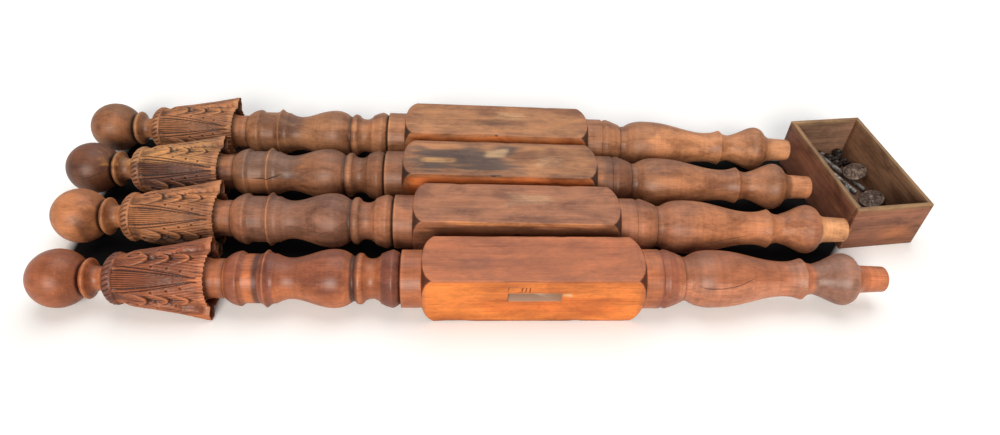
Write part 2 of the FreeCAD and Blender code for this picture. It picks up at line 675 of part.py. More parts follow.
# Bolt covers: a domed round plate with a raised boss and a screw hole near its edge
def make_cover(name):
    """One bolt cover, its flat back on Z zero."""
    plate = make("Part::Cylinder", name + "_plate", Radius="sizes.cover_radius",
                 Height="sizes.cover_rim + sizes.cover_rise")
    dome = make("Part::Sphere", name + "_dome",
                Radius="(sizes.cover_radius ^ 2 + sizes.cover_rise ^ 2) / (2 * sizes.cover_rise)",
                Placement__Base__z="sizes.cover_rim + sizes.cover_rise"
                " - (sizes.cover_radius ^ 2 + sizes.cover_rise ^ 2) / (2 * sizes.cover_rise)")
    body = join("Part::Common", name + "_body", plate, dome)
    boss = make("Part::Cylinder", name + "_boss", Radius="sizes.boss_radius",
                Height="sizes.cover_rim + sizes.cover_rise + sizes.boss_rise")
    blank_cover = join("Part::Fuse", name + "_blank", body, boss)
    hole = make("Part::Cylinder", name + "_hole", Radius="sizes.cover_hole_radius",
                Height="sizes.cover_rim + sizes.cover_rise + 2 * sizes.overrun",
                Placement__Base__x="sizes.cover_radius - sizes.cover_hole_inset",
                Placement__Base__z="-sizes.overrun")
    return join("Part::Cut", name, blank_cover, hole)


# Two covers lean on the right board and two lie flat in the near corners
lean = size("cover_lean")
lean_run = size("cover_radius") * math.cos(math.radians(lean))
lean_drop = size("cover_radius") * math.sin(math.radians(lean))
right_side = board + inside_width
lean_across = right_side - lean_run - gap
shank_top = bottom + 2 * gap + half_head + size("bolt_radius")
propped_share = 0.62
shank_run_share = 0.6128
point_offset_share = 1.2674
beside_shank = slanted_heads[5] - bolt_reach * shank_run_share
past_point = slanted_axes[6].BoundBox.YMin - size("cover_radius") * point_offset_share
leaning_covers = [("bolt_cover_1", beside_shank, shank_top + gap + lean_drop * propped_share),
                  ("bolt_cover_2", past_point, bottom + gap + lean_drop)]
for name, along, height in leaning_covers:
    node(make_cover(name), name, in_box(lean_across, along, height, turned_about(ACROSS, -lean)))
before_row = near_end - size("cover_radius") - 3 * gap
corner_share = 0.124
flat_covers = [("bolt_cover_3", board + size("cover_radius") + 2 * gap, before_row, 40.0),
               ("bolt_cover_4", right_side - size("cover_radius") - 2 * gap,
                board + inside_length * corner_share, -60.0)]
for name, across, along, turn in flat_covers:
    node(make_cover(name), name, in_box(across, along, bottom + gap, turned_about(UP, turn)))

# The origin is the middle of the set's footprint, on the floor
doc.recompute()
whole = FreeCAD.BoundBox()
for item in nodes:
    item.Placement = places[item.Label]
doc.recompute()
for item in nodes:
    for point in item.Shape.tessellate(size("mesh_tolerance"))[0]:
        whole.add(point)
sheet.set(sheet.getCellFromAlias("middle_x"), str(whole.Center.x))
sheet.set(sheet.getCellFromAlias("middle_y"), str(whole.Center.y))
doc.recompute()
shift = FreeCAD.Vector(-size("middle_x"), -size("middle_y"), 0)
for item in nodes:
    item.Placement = FreeCAD.Placement(shift, FreeCAD.Rotation()).multiply(places[item.Label])
doc.recompute()

for item in doc.Objects:
    if "Invalid" in item.State or "Error" in item.State:
        raise RuntimeError(f"{item.Name} did not recompute: {item.State}")
for item in nodes:
    if item.Shape.isNull() or not item.Shape.isValid():
        raise RuntimeError(f"{item.Label} has no valid shape")

os.makedirs("parts", exist_ok=True)
for item in nodes:
    item.Shape.exportStep(f"parts/{item.Label}.step")
    box = item.Shape.BoundBox
    print(item.Label, len(item.Shape.Solids), "solids", round(item.Shape.Volume / 1000, 1), "cm3",
          [round(v, 1) for v in (box.XMin, box.YMin, box.ZMin, box.XMax, box.YMax, box.ZMax)])
print("origin moved by", round(-shift.x, 2), round(-shift.y, 2))
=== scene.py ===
import logging
import math
from dataclasses import dataclass
from enum import Enum
from typing import ClassVar

import bmesh
import bpy
import numpy as np
from mathutils import Matrix, Vector


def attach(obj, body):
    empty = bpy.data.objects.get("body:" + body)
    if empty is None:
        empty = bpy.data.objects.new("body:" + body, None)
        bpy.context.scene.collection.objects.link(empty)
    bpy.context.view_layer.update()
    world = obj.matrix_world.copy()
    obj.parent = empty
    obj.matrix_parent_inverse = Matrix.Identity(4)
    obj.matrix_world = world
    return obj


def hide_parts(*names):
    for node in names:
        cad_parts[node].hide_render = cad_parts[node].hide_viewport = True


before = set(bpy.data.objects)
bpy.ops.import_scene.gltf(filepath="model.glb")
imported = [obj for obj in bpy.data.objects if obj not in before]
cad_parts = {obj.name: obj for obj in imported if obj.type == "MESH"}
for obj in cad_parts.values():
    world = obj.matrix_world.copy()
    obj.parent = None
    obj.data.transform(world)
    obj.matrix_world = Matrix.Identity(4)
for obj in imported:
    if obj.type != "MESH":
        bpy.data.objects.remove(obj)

# A knocked-down carved bed: four turned and carved posts lie side by side, and an open box
# past their feet holds the bed's bolts, nuts and bolt covers. Lengths are in millimetres until a
# mesh is made. Angles round a post run from its back (0) over its top (90) to its front (180).

MM = 0.001
HASH_PRIMES = np.array([73856093, 19349663, 83492791])
HASH_SEED = 2654435761
LOG = logging.getLogger("carved_bed")
Array = np.ndarray
Item = bpy.types.Object
Socket = bpy.types.NodeSocket
Colour = tuple[float, float, float]
Triple = tuple[float, float, float]
Shares = tuple[tuple[float, float], ...]
Loop = tuple[Array, Array, Array]
WHITE: Colour = (1.0, 1.0, 1.0)


def tint(red: int, green: int, blue: int) -> Colour:
    """A linear colour from display values.

    Args:
        red: Display red, 0 to 255.
        green: Display green, 0 to 255.
        blue: Display blue, 0 to 255.

    Returns:
        The same colour in linear light.
    """
    return tuple(((value / 255 + 0.055) / 1.055) ** 2.4 if value > 10 else value / 3294.6
                 for value in (red, green, blue))


def mix(low: Array | float, high: Array | float, share: Array | float) -> Array:
    """The value a share of the way from low to high."""
    return low + (high - low) * share


def ramp(value: Array, start: float, end: float) -> Array:
    """A smooth step.

    Args:
        value: Where to evaluate it.
        start: Where it leaves zero.
        end: Where it reaches one.

    Returns:
        Zero to one.
    """
    share = np.clip((value - start) / (end - start), 0.0, 1.0)
    return share * share * (3 - 2 * share)


def lattice_noise(points: Array, cell: Triple, seed: int) -> Array:
    """Smooth repeatable noise between -1 and 1.

    Args:
        points: Rows of three coordinates.
        cell: The size of a noise cell along each axis.
        seed: Picks the pattern.

    Returns:
        One value for each row.
    """
    scaled = points / np.array(cell) + seed * 17.31
    base = np.floor(scaled).astype(np.int64)
    part = scaled - base
    part = part * part * (3 - 2 * part)
    total = np.zeros(len(points))
    for corner in range(8):
        step = np.array([(corner >> axis) & 1 for axis in range(3)])
        key = ((base + step) * HASH_PRIMES).sum(axis=1) + seed * HASH_SEED
        key = (key ^ (key >> 13)) * 1274126177 & 0x7FFFFFFF
        weight = np.prod(np.where(step, part, 1 - part), axis=1)
        total += weight * (((key ^ (key >> 16)) & 0xFFFF) / 32767.5 - 1)
    return total


class Side(Enum):
    """The sides of a post as it lies."""

    FRONT = "front"
    BACK = "back"
    TOP = "top"


@dataclass(frozen=True)
class Streak:
    """A stained, worn or bare place on a post, or a place painted lighter or darker as painted light and
    shade; its colour is in display values.
    """

    along: float
    reach: float
    aim: float
    spread: float
    colour: tuple[int, int, int]
    strength: float = 0.8
    streaky: float = 0.5


def ring(along: float, reach: float, colour: tuple[int, int, int], strength: float,
         streaky: float) -> Streak:
    """A streak all round the post."""
    return Streak(along, reach, 135, 400, colour, strength, streaky)


def face(aim: float, colour: tuple[int, int, int], strength: float, streaky: float) -> Streak:
    """A streak over one whole face of the block, up to its arrises."""
    return Streak(0, 188, aim, 44.5, colour, strength, streaky)


@dataclass(frozen=True)
class Check:
    """A drying check: a fine crack that runs along the grain of one side."""

    start: float
    end: float
    level: float
    slope: float
    bow: float
    width: float
    side: Side = Side.FRONT


@dataclass(frozen=True)
class WoodFinish:
    """Old stained wood, from its colours to its figure; its recess colour is grime and painted shade, and
    its crest colour is wear and painted highlight.
    """

    name: str
    tone: Colour
    recess: Colour
    crest: Colour
    dark_mottle: Colour = (0.54, 0.47, 0.44)
    dark_grain: Colour = (0.66, 0.58, 0.54)
    light_grain: Colour = (1.14, 1.13, 1.11)
    figure: float = 0.05
    scuff: float = 0.25
    seed: int = 1
    gloss_roughness: float = 0.48
    streaks: tuple[Streak, ...] = ()
    checks: tuple[Check, ...] = ()


@dataclass(frozen=True)
class MetalFinish:
    """Old iron or brass, with what covers it."""

    name: str
    bare: Colour
    grime: Colour
    metallic: float
    roughness: float
    grain: float
    seed: int = 1


# The face(180, ...) streaks paint the blocks' front faces; on posts 1, 3 and 4 they are warmer and
# brighter than the tops, partly the wood's own colour and partly painted light from the front.
POST_FINISHES = (
    WoodFinish(
        "post_1_wood", tint(176, 105, 68), tint(78, 37, 22), tint(206, 129, 85),
        dark_mottle=(0.72, 0.65, 0.61), seed=1, gloss_roughness=0.40,
        streaks=(
            ring(-779, 62, (140, 78, 49), 0.75, 0.3), ring(-605, 88, (152, 86, 52), 0.8, 0.3),
            # painted light: the block's front face warmer than its top, partly the wood's own colour
            Streak(-620, 70, 100, 60, (96, 51, 34), 0.35, 1.0), face(180, (224, 129, 60), 1.0, 0.05),
            face(90, (176, 103, 66), 0.9, 0.2), Streak(30, 150, 190, 26, (176, 82, 36), 0.45, 1.0),
            Streak(-95, 34, 104, 14, (150, 90, 63), 0.55, 0.8),
            Streak(440, 60, 150, 120, (192, 122, 90), 0.7, 0.6),
            Streak(452, 20, 100, 110, (156, 110, 88), 0.7, 0.5), ring(517, 38, (142, 104, 88), 0.9, 0.4),
            ring(-519, 22, (160, 96, 64), 0.8, 0.3), Streak(-395, 92, 80, 80, (142, 82, 58), 0.85, 0.5),
            # painted shade on the leg's upper side (aim 82) and painted light on its front (aim 182)
            Streak(325, 125, 82, 72, (152, 94, 66), 0.85, 0.6),
            Streak(325, 125, 182, 44, (192, 128, 98), 0.85, 0.5), ring(-491, 13, (130, 72, 53), 0.75, 0.4),
            ring(-467, 8, (204, 120, 72), 0.7, 0.5), ring(-506, 1.6, (204, 128, 86), 0.7, 0.3),
            Streak(-600, 72, 218, 7, (216, 128, 74), 0.8, 0.4), ring(-456, 6, (84, 45, 33), 0.85, 0.3),
            ring(-438, 12, (122, 68, 53), 0.7, 0.4), ring(-297, 7, (86, 47, 35), 0.8, 0.3),
            ring(-239, 15, (108, 58, 47), 0.85, 0.3), ring(226, 18, (148, 86, 63), 0.8, 0.4),
            Streak(284, 20, 100, 70, (146, 98, 76), 0.6, 0.3), ring(-690, 13, (98, 56, 43), 0.8, 0.4),
            # painted light: the ring at 602 paints the foot paler where the box shades it
            Streak(53, 8, 161, 4, (232, 190, 140), 0.9, 0.8), ring(602, 22, (192, 118, 80), 0.9, 0.3),
            Streak(-330, 46, 100, 70, (140, 80, 56), 0.5, 0.8),
        ),
        checks=(Check(268, 376, 21, -0.04, 0.0013, 0.9), Check(-340, -250, -22, 0.02, 0.0, 0.6),
                Check(-120, -40, 24, 0.01, 0.0, 0.5, Side.TOP))),
    WoodFinish(
        "post_2_wood", tint(160, 105, 76), tint(64, 39, 27), tint(196, 135, 90),
        seed=2, gloss_roughness=0.5,
        streaks=(
            ring(-779, 64, (184, 119, 77), 0.9, 0.3), Streak(-740, 30, 200, 60, (96, 60, 40), 0.6, 0.5),
            ring(-640, 120, (172, 113, 72), 0.9, 0.4), Streak(-600, 90, 215, 34, (66, 43, 31), 0.8, 0.7),
            Streak(-380, 130, 120, 90, (128, 89, 71), 0.85, 0.7), face(90, (166, 111, 81), 0.9, 0.3),
            face(180, (110, 71, 50), 0.95, 0.4), Streak(5, 160, 137, 3.2, (206, 137, 88), 0.8, 0.6),
            Streak(20, 50, 78, 20, (196, 156, 121), 0.5, 1.0),
            Streak(-110, 46, 100, 22, (126, 82, 59), 0.55, 1.0), ring(420, 110, (182, 119, 81), 0.85, 0.4),
            # painted light: the foot painted paler where the box shades it
            ring(592, 36, (222, 162, 114), 0.9, 0.3),
        ),
        checks=(Check(-420, -330, 12, -0.02, 0.0, 0.6), Check(330, 430, 4, 0.03, 0.0, 0.7))),
    WoodFinish(
        "post_3_wood", tint(146, 98, 68), tint(52, 33, 25), tint(190, 133, 88),
        seed=3, gloss_roughness=0.46,
        streaks=(
            ring(-779, 66, (94, 55, 35), 0.9, 0.5), Streak(-640, 110, 90, 42, (186, 133, 83), 0.85, 0.6),
            Streak(-600, 96, 165, 46, (96, 58, 45), 0.85, 0.6),
            Streak(-440, 70, 100, 70, (112, 86, 74), 0.75, 0.8),
            Streak(-300, 70, 110, 80, (132, 90, 68), 0.6, 0.8), ring(-230, 60, (122, 78, 54), 0.6, 0.6),
            face(90, (178, 125, 85), 0.9, 0.3), Streak(-66, 116, 92, 42, (88, 69, 60), 0.95, 1.0),
            Streak(-116, 36, 100, 9, (196, 150, 98), 0.8, 1.0),
            Streak(-10, 26, 76, 16, (214, 177, 135), 0.6, 1.0),
            # painted light: the block's front face warmer than its top, partly the wood's own colour
            Streak(96, 30, 92, 22, (206, 164, 124), 0.5, 1.0), face(180, (196, 109, 58), 0.95, 0.3),
            ring(230, 34, (104, 66, 47), 0.8, 0.6), ring(420, 120, (168, 113, 79), 0.8, 0.5),
            # painted light: the foot painted paler where the box shades it
            ring(600, 30, (196, 134, 94), 0.9, 0.4),
        ),
        checks=(Check(-470, -410, 14, 0.10, 0.0, 1.3), Check(-790, -740, 8, 0.2, 0.0, 0.8),
                Check(300, 420, -6, 0.03, 0.0, 0.6))),
    WoodFinish(
        "post_4_wood", tint(160, 109, 76), tint(64, 43, 31), tint(196, 142, 97),
        seed=4, gloss_roughness=0.5,
        streaks=(
            ring(-779, 66, (128, 88, 60), 0.9, 0.5), Streak(-779, 40, 140, 46, (160, 101, 64), 0.5, 1.0),
            ring(-620, 110, (163, 108, 71), 0.85, 0.5),
            Streak(-400, 120, 120, 100, (146, 103, 72), 0.6, 0.8),
            Streak(-420, 28, 110, 52, (104, 74, 58), 0.6, 1.0), face(90, (172, 121, 83), 0.9, 0.3),
            Streak(10, 60, 100, 12, (110, 72, 49), 0.7, 1.0),
            # painted light: the block's front face warmer than its top, partly the wood's own colour
            Streak(30, 30, 76, 16, (202, 162, 121), 0.5, 1.0), face(180, (190, 109, 59), 0.95, 0.3),
            # painted light: the ring at 590 paints the foot paler where the box shades it
            ring(420, 120, (190, 131, 90), 0.8, 0.5), ring(590, 30, (190, 135, 96), 0.85, 0.4),
        ),
        checks=(Check(290, 380, -10, 0.0, 0.0, 0.9), Check(-60, 80, 10, 0.0, 0.0, 0.6, Side.TOP))),
)
BOX_BOARDS = WoodFinish("box_board_wood", tint(138, 91, 70), tint(58, 36, 26), tint(176, 128, 88),
                        dark_grain=(0.46, 0.40, 0.36), light_grain=(1.22, 1.2, 1.16), seed=7,
                        gloss_roughness=0.62)
IRON = MetalFinish("worn_bolt_iron", tint(164, 161, 160), tint(78, 68, 62), 0.55, 0.5, 0.4, 11)
DARK_IRON = MetalFinish("dark_nut_iron", tint(92, 84, 80), tint(40, 30, 26), 0.8, 0.55, 0.7, 12)
COVER_METAL = MetalFinish("tarnished_cover_metal", tint(126, 106, 92), tint(66, 50, 42), 0.5, 0.5, 0.5, 13)
NAIL_METAL = MetalFinish("rusted_nail_iron", tint(176, 122, 62), tint(120, 66, 32), 0.3, 0.6, 0.6, 14)


class NodeKit:
    """Tools for one of Blender's node trees."""

    def __init__(self, tree: bpy.types.NodeTree) -> None:
        """Keep a tree and empty it."""
        self.tree = tree
        tree.nodes.clear()

    def feed(self, socket: Socket, value: object) -> None:
        """Link or set an input, whichever the value asks for."""
        if isinstance(value, Socket):
            self.tree.links.new(value, socket)
        elif socket.type == "RGBA" and len(value) == 3:
            socket.default_value = (*value, 1.0)
        else:
            socket.default_value = value

    def fill(self, node: bpy.types.Node, inputs: dict[str | int, object]) -> None:
        """Link or set some of a node's inputs, by name or number."""
        for key, value in inputs.items():
            self.feed(node.inputs[key], value)

    def add(self, kind: str, inputs: dict[str | int, object] | None = None,
            **settings: object) -> bpy.types.Node:
        """Add a node.

        Args:
            kind: The node's type name.
            inputs: Sockets or values for its inputs, by name or number.
            settings: Its own properties.

        Returns:
            The node.
        """
        node = self.tree.nodes.new(kind)
        for key, value in settings.items():
            setattr(node, key, value)
        self.fill(node, inputs or {})
        return node

    def maths(self, operation: str, *values: object, clamp: bool = False) -> Socket:
        """A Math node.

        Args:
            operation: The node's operation.
            values: Its inputs, sockets or numbers.
            clamp: Whether the result stays between zero and one.

        Returns:
            Its result.
        """
        inputs = dict(enumerate(values))
        return self.add("ShaderNodeMath", inputs, operation=operation, use_clamp=clamp).outputs[0]

    def parts(self, vector: Socket) -> tuple[Socket, ...]:
        """A vector's three parts."""
        return tuple(self.add("ShaderNodeSeparateXYZ", {0: vector}).outputs)

    def seen(self) -> Socket:
        """One for rays that the camera, metal and glass see, and zero for those that light the set."""
        rays = self.add("ShaderNodeLightPath").outputs
        either = self.maths("MAXIMUM", rays["Is Camera Ray"], rays["Is Glossy Ray"])
        return self.maths("MAXIMUM", either, rays["Is Transmission Ray"])


class ShaderTree(NodeKit):
    """A material's nodes round one Principled shader."""

    def __init__(self, name: str) -> None:
        """Start an empty material with a Principled shader."""
        self.material = bpy.data.materials.new(name)
        self.material.use_nodes = True
        super().__init__(self.material.node_tree)
        self.shader = self.add("ShaderNodeBsdfPrincipled")
        self.output = self.add("ShaderNodeOutputMaterial", {"Surface": self.shader.outputs["BSDF"]})

    def noise(self, place: Socket, scale: float, detail: float,
              roughness: float = 0.55, distortion: float = 0.0) -> Socket:
        """A noise texture's value.

        Args:
            place: The coordinates.
            scale: Cells for each unit of them.
            detail: How many finer layers it has.
            roughness: How strong the finer layers are.
            distortion: How far it is stirred.

        Returns:
            The value.
        """
        return self.add("ShaderNodeTexNoise", {
            "Vector": place, "Scale": scale, "Detail": detail, "Roughness": roughness,
            "Distortion": distortion}).outputs["Fac"]

    def aligned(self, turn: float, middle: Triple = (0.0, 0.0, 0.0)) -> Socket:
        """Object coordinates in a piece's own frame, from its turn in degrees and its middle."""
        place = self.add("ShaderNodeTexCoord").outputs["Object"]
        return self.add("ShaderNodeMapping", {
            "Vector": place, "Rotation": (0.0, 0.0, math.radians(turn)),
            "Location": tuple(value * MM for value in middle)}, vector_type="TEXTURE").outputs["Vector"]

    def stretched(self, turn: float, scale: Triple, shift: Triple) -> Socket:
        """Object coordinates turned with a piece and stretched along its grain.

        Args:
            turn: The piece's turn about Z in degrees.
            scale: The scale along, across and through the grain.
            shift: Moves the pattern, so that no two pieces match.

        Returns:
            The coordinates.
        """
        return self.add("ShaderNodeMapping", {
            "Vector": self.aligned(turn), "Scale": scale, "Location": shift}).outputs["Vector"]

    def bands(self, value: Socket, *stops: tuple[float, Colour]) -> Socket:
        """A colour ramp.

        Args:
            value: What is looked up.
            stops: Places and colours.

        Returns:
            The colour.
        """
        node = self.add("ShaderNodeValToRGB", {"Fac": value})
        elements = node.color_ramp.elements
        while len(elements) < len(stops):
            elements.new(0.5)
        for element, (place, colour) in zip(elements, stops):
            element.position = place
            element.color = (*colour, 1.0)
        return node.outputs["Color"]

    def blend(self, kind: str, share: object, low: object, high: object) -> Socket:
        """A colour mix.

        Args:
            kind: The blend type.
            share: How much of the second colour.
            low: The first colour, a socket or a value.
            high: The second colour, a socket or a value.

        Returns:
            The mixed colour.
        """
        inputs = {0: share, 6: low, 7: high}
        return self.add("ShaderNodeMix", inputs, data_type="RGBA", blend_type=kind).outputs[2]

    def dress(self, colour: object, roughness: object, height: Socket, strength: float,
              depth: float) -> None:
        """Give the shader its surface.

        Args:
            colour: The base colour.
            roughness: How rough it is.
            height: The pattern that it is bumped by.
            strength: How strong the bumps are.
            depth: How deep they are, in millimetres.
        """
        bump = self.add("ShaderNodeBump", {"Strength": strength, "Distance": depth * MM, "Height": height})
        self.fill(self.shader, {
            "Base Color": colour, "Roughness": roughness, "Normal": bump.outputs["Normal"]})


@dataclass(frozen=True)
class WoodShader:
    """Old wood: painted tones under grain, year rings, pores, lathe lines, checks and wear.

    The scales are cells for each metre along, across and through the grain. Lengths on the post
    are in metres: turned work starts past `turned_from` along it, and faces inside `skin` and
    `cut_reach` belong to the cut joinery.
    """

    finish: WoodFinish
    turn: float
    middle: Triple = (0.0, 0.0, 0.0)
    broad: Triple = (2.4, 46.0, 46.0)
    fibre: Triple = (11.0, 420.0, 420.0)
    mottle: Triple = (12.0, 26.0, 26.0)
    pores: Triple = (70.0, 800.0, 800.0)
    scuffs: Triple = (34.0, 300.0, 300.0)
    lathe: Triple = (190.0, 5.0, 5.0)
    year_rings: float = 70.0
    turned_from: float = 0.172
    skin: float = 0.0494
    cut_reach: float = 0.0452

    def pattern(self, tree: ShaderTree, scale: Triple, *shape: float, lean: float = 0.0) -> Socket:
        """A noise that follows the grain.

        Args:
            tree: The material's tree.
            scale: Its scale along, across and through the grain.
            shape: Its detail, and then its roughness and distortion where they matter.
            lean: Degrees off the grain.

        Returns:
            The value.
        """
        shift = tuple(self.finish.seed * step for step in (3.7, 1.9, 5.3))
        return tree.noise(tree.stretched(self.turn + lean, scale, shift), 1.0, *shape)

    def grain(self, tree: ShaderTree, fibre: Socket) -> Socket:
        """The shades of the year rings and fibres."""
        finish = self.finish
        broad = self.pattern(tree, self.broad, 4.0, 0.6, 0.5)
        pith = tree.stretched(self.turn, (1.0, 1.0, 1.0), (0.0, 0.075 + finish.seed * 0.004, -0.03))
        rings = tree.add("ShaderNodeTexWave", {
            "Vector": pith, "Scale": self.year_rings, "Distortion": 5.0, "Detail": 2.0,
            "Detail Scale": 0.10}, wave_type="RINGS", rings_direction="X", wave_profile="SAW")
        figure = tree.maths("MULTIPLY_ADD", rings.outputs["Fac"], finish.figure,
                            tree.maths("MULTIPLY", broad, 0.5))
        figure = tree.maths("MULTIPLY_ADD", fibre, 0.5, figure)
        return tree.bands(figure, (0.34, finish.dark_grain), (0.50, (0.93, 0.92, 0.91)),
                          (0.68, finish.light_grain))

    def check_mask(self, tree: ShaderTree, place: Socket, check: Check) -> Socket:
        """Where a drying check shows.

        Args:
            tree: The material's tree.
            place: Coordinates in metres from the post's middle, with X along it.
            check: The check.

        Returns:
            One in the check and zero beside it.
        """
        along, across, up = tree.parts(place)
        on_top = check.side is Side.TOP
        level, side = (across, up) if on_top else (up, tree.maths("MULTIPLY", across, -1.0))
        run = tree.maths("SUBTRACT", along, check.start * MM)
        line = tree.maths("MULTIPLY_ADD", run, check.slope, check.level * MM)
        line = tree.maths("MULTIPLY_ADD", tree.maths("MULTIPLY", run, run), check.bow / MM, line)
        line = tree.maths("MULTIPLY_ADD", tree.noise(place, 90.0, 2.0), 3.0 * MM, line)
        off = tree.maths("ABSOLUTE", tree.maths("SUBTRACT", level, line))
        near = tree.maths("SUBTRACT", 1.0, tree.maths("DIVIDE", off, check.width * MM), clamp=True)
        share = tree.maths("DIVIDE", run, (check.end - check.start) * MM)
        rest = tree.maths("SUBTRACT", 1.0, share)
        taper = tree.maths("MULTIPLY", tree.maths("MULTIPLY", share, rest), 6.0, clamp=True)
        facing = tree.maths("GREATER_THAN", side, 0.004)
        return tree.maths("MULTIPLY", tree.maths("MULTIPLY", near, taper, clamp=True), facing, clamp=True)

    def worked(self, tree: ShaderTree, colour: Socket, height: Socket) -> tuple[Socket, Socket]:
        """Add the joinery's dull cuts, the lathe's lines and the drying checks.

        Args:
            tree: The material's tree.
            colour: The wood's colour.
            height: The wood's height.

        Returns:
            The colour and the height with them.
        """
        place = tree.aligned(self.turn, self.middle)
        away, back, rise = (tree.maths("ABSOLUTE", part) for part in tree.parts(place))
        cut = tree.maths("LESS_THAN", tree.maths("MAXIMUM", back, rise), self.skin)
        cut = tree.maths("MULTIPLY", cut, tree.maths("LESS_THAN", away, self.cut_reach))
        colour = tree.blend("MIX", tree.maths("MULTIPLY", cut, 0.8), colour, tint(150, 128, 110))
        lines = tree.bands(self.pattern(tree, self.lathe, 3.0, 0.6), (0.36, (0.76, 0.72, 0.70)),
                           (0.50, WHITE), (0.66, (1.16, 1.13, 1.10)))
        turned = tree.maths("GREATER_THAN", away, self.turned_from)
        colour = tree.blend("MULTIPLY", tree.maths("MULTIPLY", turned, 0.38), colour, lines)
        for check in self.finish.checks:
            mask = self.check_mask(tree, place, check)
            colour = tree.blend("MIX", mask, colour, tint(34, 20, 14))
            height = tree.maths("MULTIPLY_ADD", mask, -2.5, height)
        return colour, height

    def make(self) -> bpy.types.Material:
        """Make the material.

        Returns:
            The material.
        """
        finish = self.finish
        tree = ShaderTree(finish.name)
        fibre = self.pattern(tree, self.fibre, 4.0, 0.6)
        mottle = self.pattern(tree, self.mottle, 6.0, 0.68, 0.3)
        pores = self.pattern(tree, self.pores, 2.0)
        scuffs = self.pattern(tree, self.scuffs, 3.0, 0.5, 0.8, lean=4.0)
        old = tree.bands(mottle, (0.36, finish.dark_mottle), (0.50, (0.95, 0.94, 0.93)),
                         (0.63, (1.24, 1.21, 1.18)))
        dots = tree.bands(pores, (0.30, (0.42, 0.36, 0.34)), (0.40, WHITE))
        colour = tree.add("ShaderNodeAttribute", attribute_name="tone").outputs["Color"]
        for share, layer in ((1.0, self.grain(tree, fibre)), (1.0, old), (0.5, dots)):
            colour = tree.blend("MULTIPLY", share, colour, layer)
        rubs = tree.bands(scuffs, (0.66, (0.0, 0.0, 0.0)), (0.74, WHITE))
        colour = tree.blend("MIX", tree.maths("MULTIPLY", rubs, finish.scuff), colour, finish.crest)
        height = tree.maths("MULTIPLY_ADD", fibre, 0.5, tree.maths("MULTIPLY", pores, 0.25))
        height = tree.maths("MULTIPLY_ADD", mottle, 0.9, height)
        if finish.checks:
            colour, height = self.worked(tree, colour, height)
        rough = tree.maths("MULTIPLY_ADD", mottle, 0.4, finish.gloss_roughness - 0.2)
        tree.dress(colour, rough, height, 0.5, 0.8)
        tree.fill(tree.shader, {"Specular IOR Level": 0.35})
        return tree.material


def metal(finish: MetalFinish) -> bpy.types.Material:
    """Old metal under rust, grease and wear.

    Args:
        finish: The metal and what covers it.

    Returns:
        The material.
    """
    tree = ShaderTree(finish.name)
    shift = tuple(finish.seed * step for step in (2.3, 4.1, 1.7))
    place = tree.stretched(0.0, (1.0, 1.0, 1.0), shift)
    patches = tree.noise(place, 90.0, 5.0, 0.65, 0.4)
    speckle = tree.noise(place, 520.0, 4.0, 0.6)
    cover = tree.maths("MULTIPLY_ADD", speckle, 0.35, tree.maths("MULTIPLY", patches, 0.75))
    colour = tree.bands(cover, (0.42, finish.bare), (0.62, finish.grime))
    rough = tree.maths("MULTIPLY_ADD", cover, 0.4, finish.roughness - 0.15)
    tree.dress(colour, rough, cover, finish.grain, 0.4)
    tree.fill(tree.shader, {"Metallic": finish.metallic})
    return tree.material


@dataclass(frozen=True)
class Place:
    """Where a piece lies: a point in millimetres and a turn about Z in degrees."""

    x: float
    y: float
    z: float
    turn: float = 0.0

    def matrix(self) -> Matrix:
        """The place as a matrix in metres."""
        return Matrix.Translation(Vector((self.x, self.y, self.z)) * MM) @ Matrix.Rotation(
            math.radians(self.turn), 4, "Z")

    def to_world(self, points: Array) -> Array:
        """Points in millimetres, moved from the piece's own frame to the set's."""
        angle = math.radians(self.turn)
        along, back, up = points.T
        return np.stack([self.x + along * math.cos(angle) - back * math.sin(angle),
                         self.y + along * math.sin(angle) + back * math.cos(angle), up + self.z], axis=1)

    def to_local(self, points: Array) -> Array:
        """Points in millimetres, moved from the set's frame to the piece's own."""
        angle = math.radians(self.turn)
        along, back, up = (points - np.array([self.x, self.y, self.z])).T
        return np.stack([along * math.cos(angle) + back * math.sin(angle),
                         back * math.cos(angle) - along * math.sin(angle), up], axis=1)


POST_PLACES = (Place(60.65, -206.54, 51.0), Place(39.75, -72.24, 51.0, -1.10),
               Place(14.25, 54.36, 51.0, -1.63), Place(11.65, 179.86, 51.0, -2.11))
RAIL_SIDES = (Side.FRONT, Side.BACK, Side.BACK, Side.FRONT)


def link(name: str, data: bpy.types.ID) -> Item:
    """An object for a mesh, a lamp or a camera, in the scene."""
    item = bpy.data.objects.new(name, data)
    bpy.context.scene.collection.objects.link(item)
    return item


def settle(item: Item) -> bpy.types.Mesh:
    """Make what an object's modifiers show its own plain mesh.

    Args:
        item: The object.

    Returns:
        Its new mesh.
    """
    graph = bpy.context.evaluated_depsgraph_get()
    mesh = bpy.data.meshes.new_from_object(item.evaluated_get(graph))
    item.modifiers.clear()
    old = item.data
    item.data = mesh
    mesh.name = old.name
    bpy.data.meshes.remove(old)
    return mesh


def rod(radius: float, length: float, segments: int) -> bmesh.types.BMesh:
    """A closed rod round Z, its sizes in millimetres."""
    solid = bmesh.new()
    bmesh.ops.create_cone(solid, cap_ends=True, segments=segments, radius1=radius * MM,
                          radius2=radius * MM, depth=length * MM)
    return solid


def cutter(solid: bmesh.types.BMesh, spot: Matrix) -> Item:
    """An object from a solid, moved to its spot."""
    solid.transform(spot)
    mesh = bpy.data.meshes.new("cutter")
    solid.to_mesh(mesh)
    solid.free()
    return link("cutter", mesh)


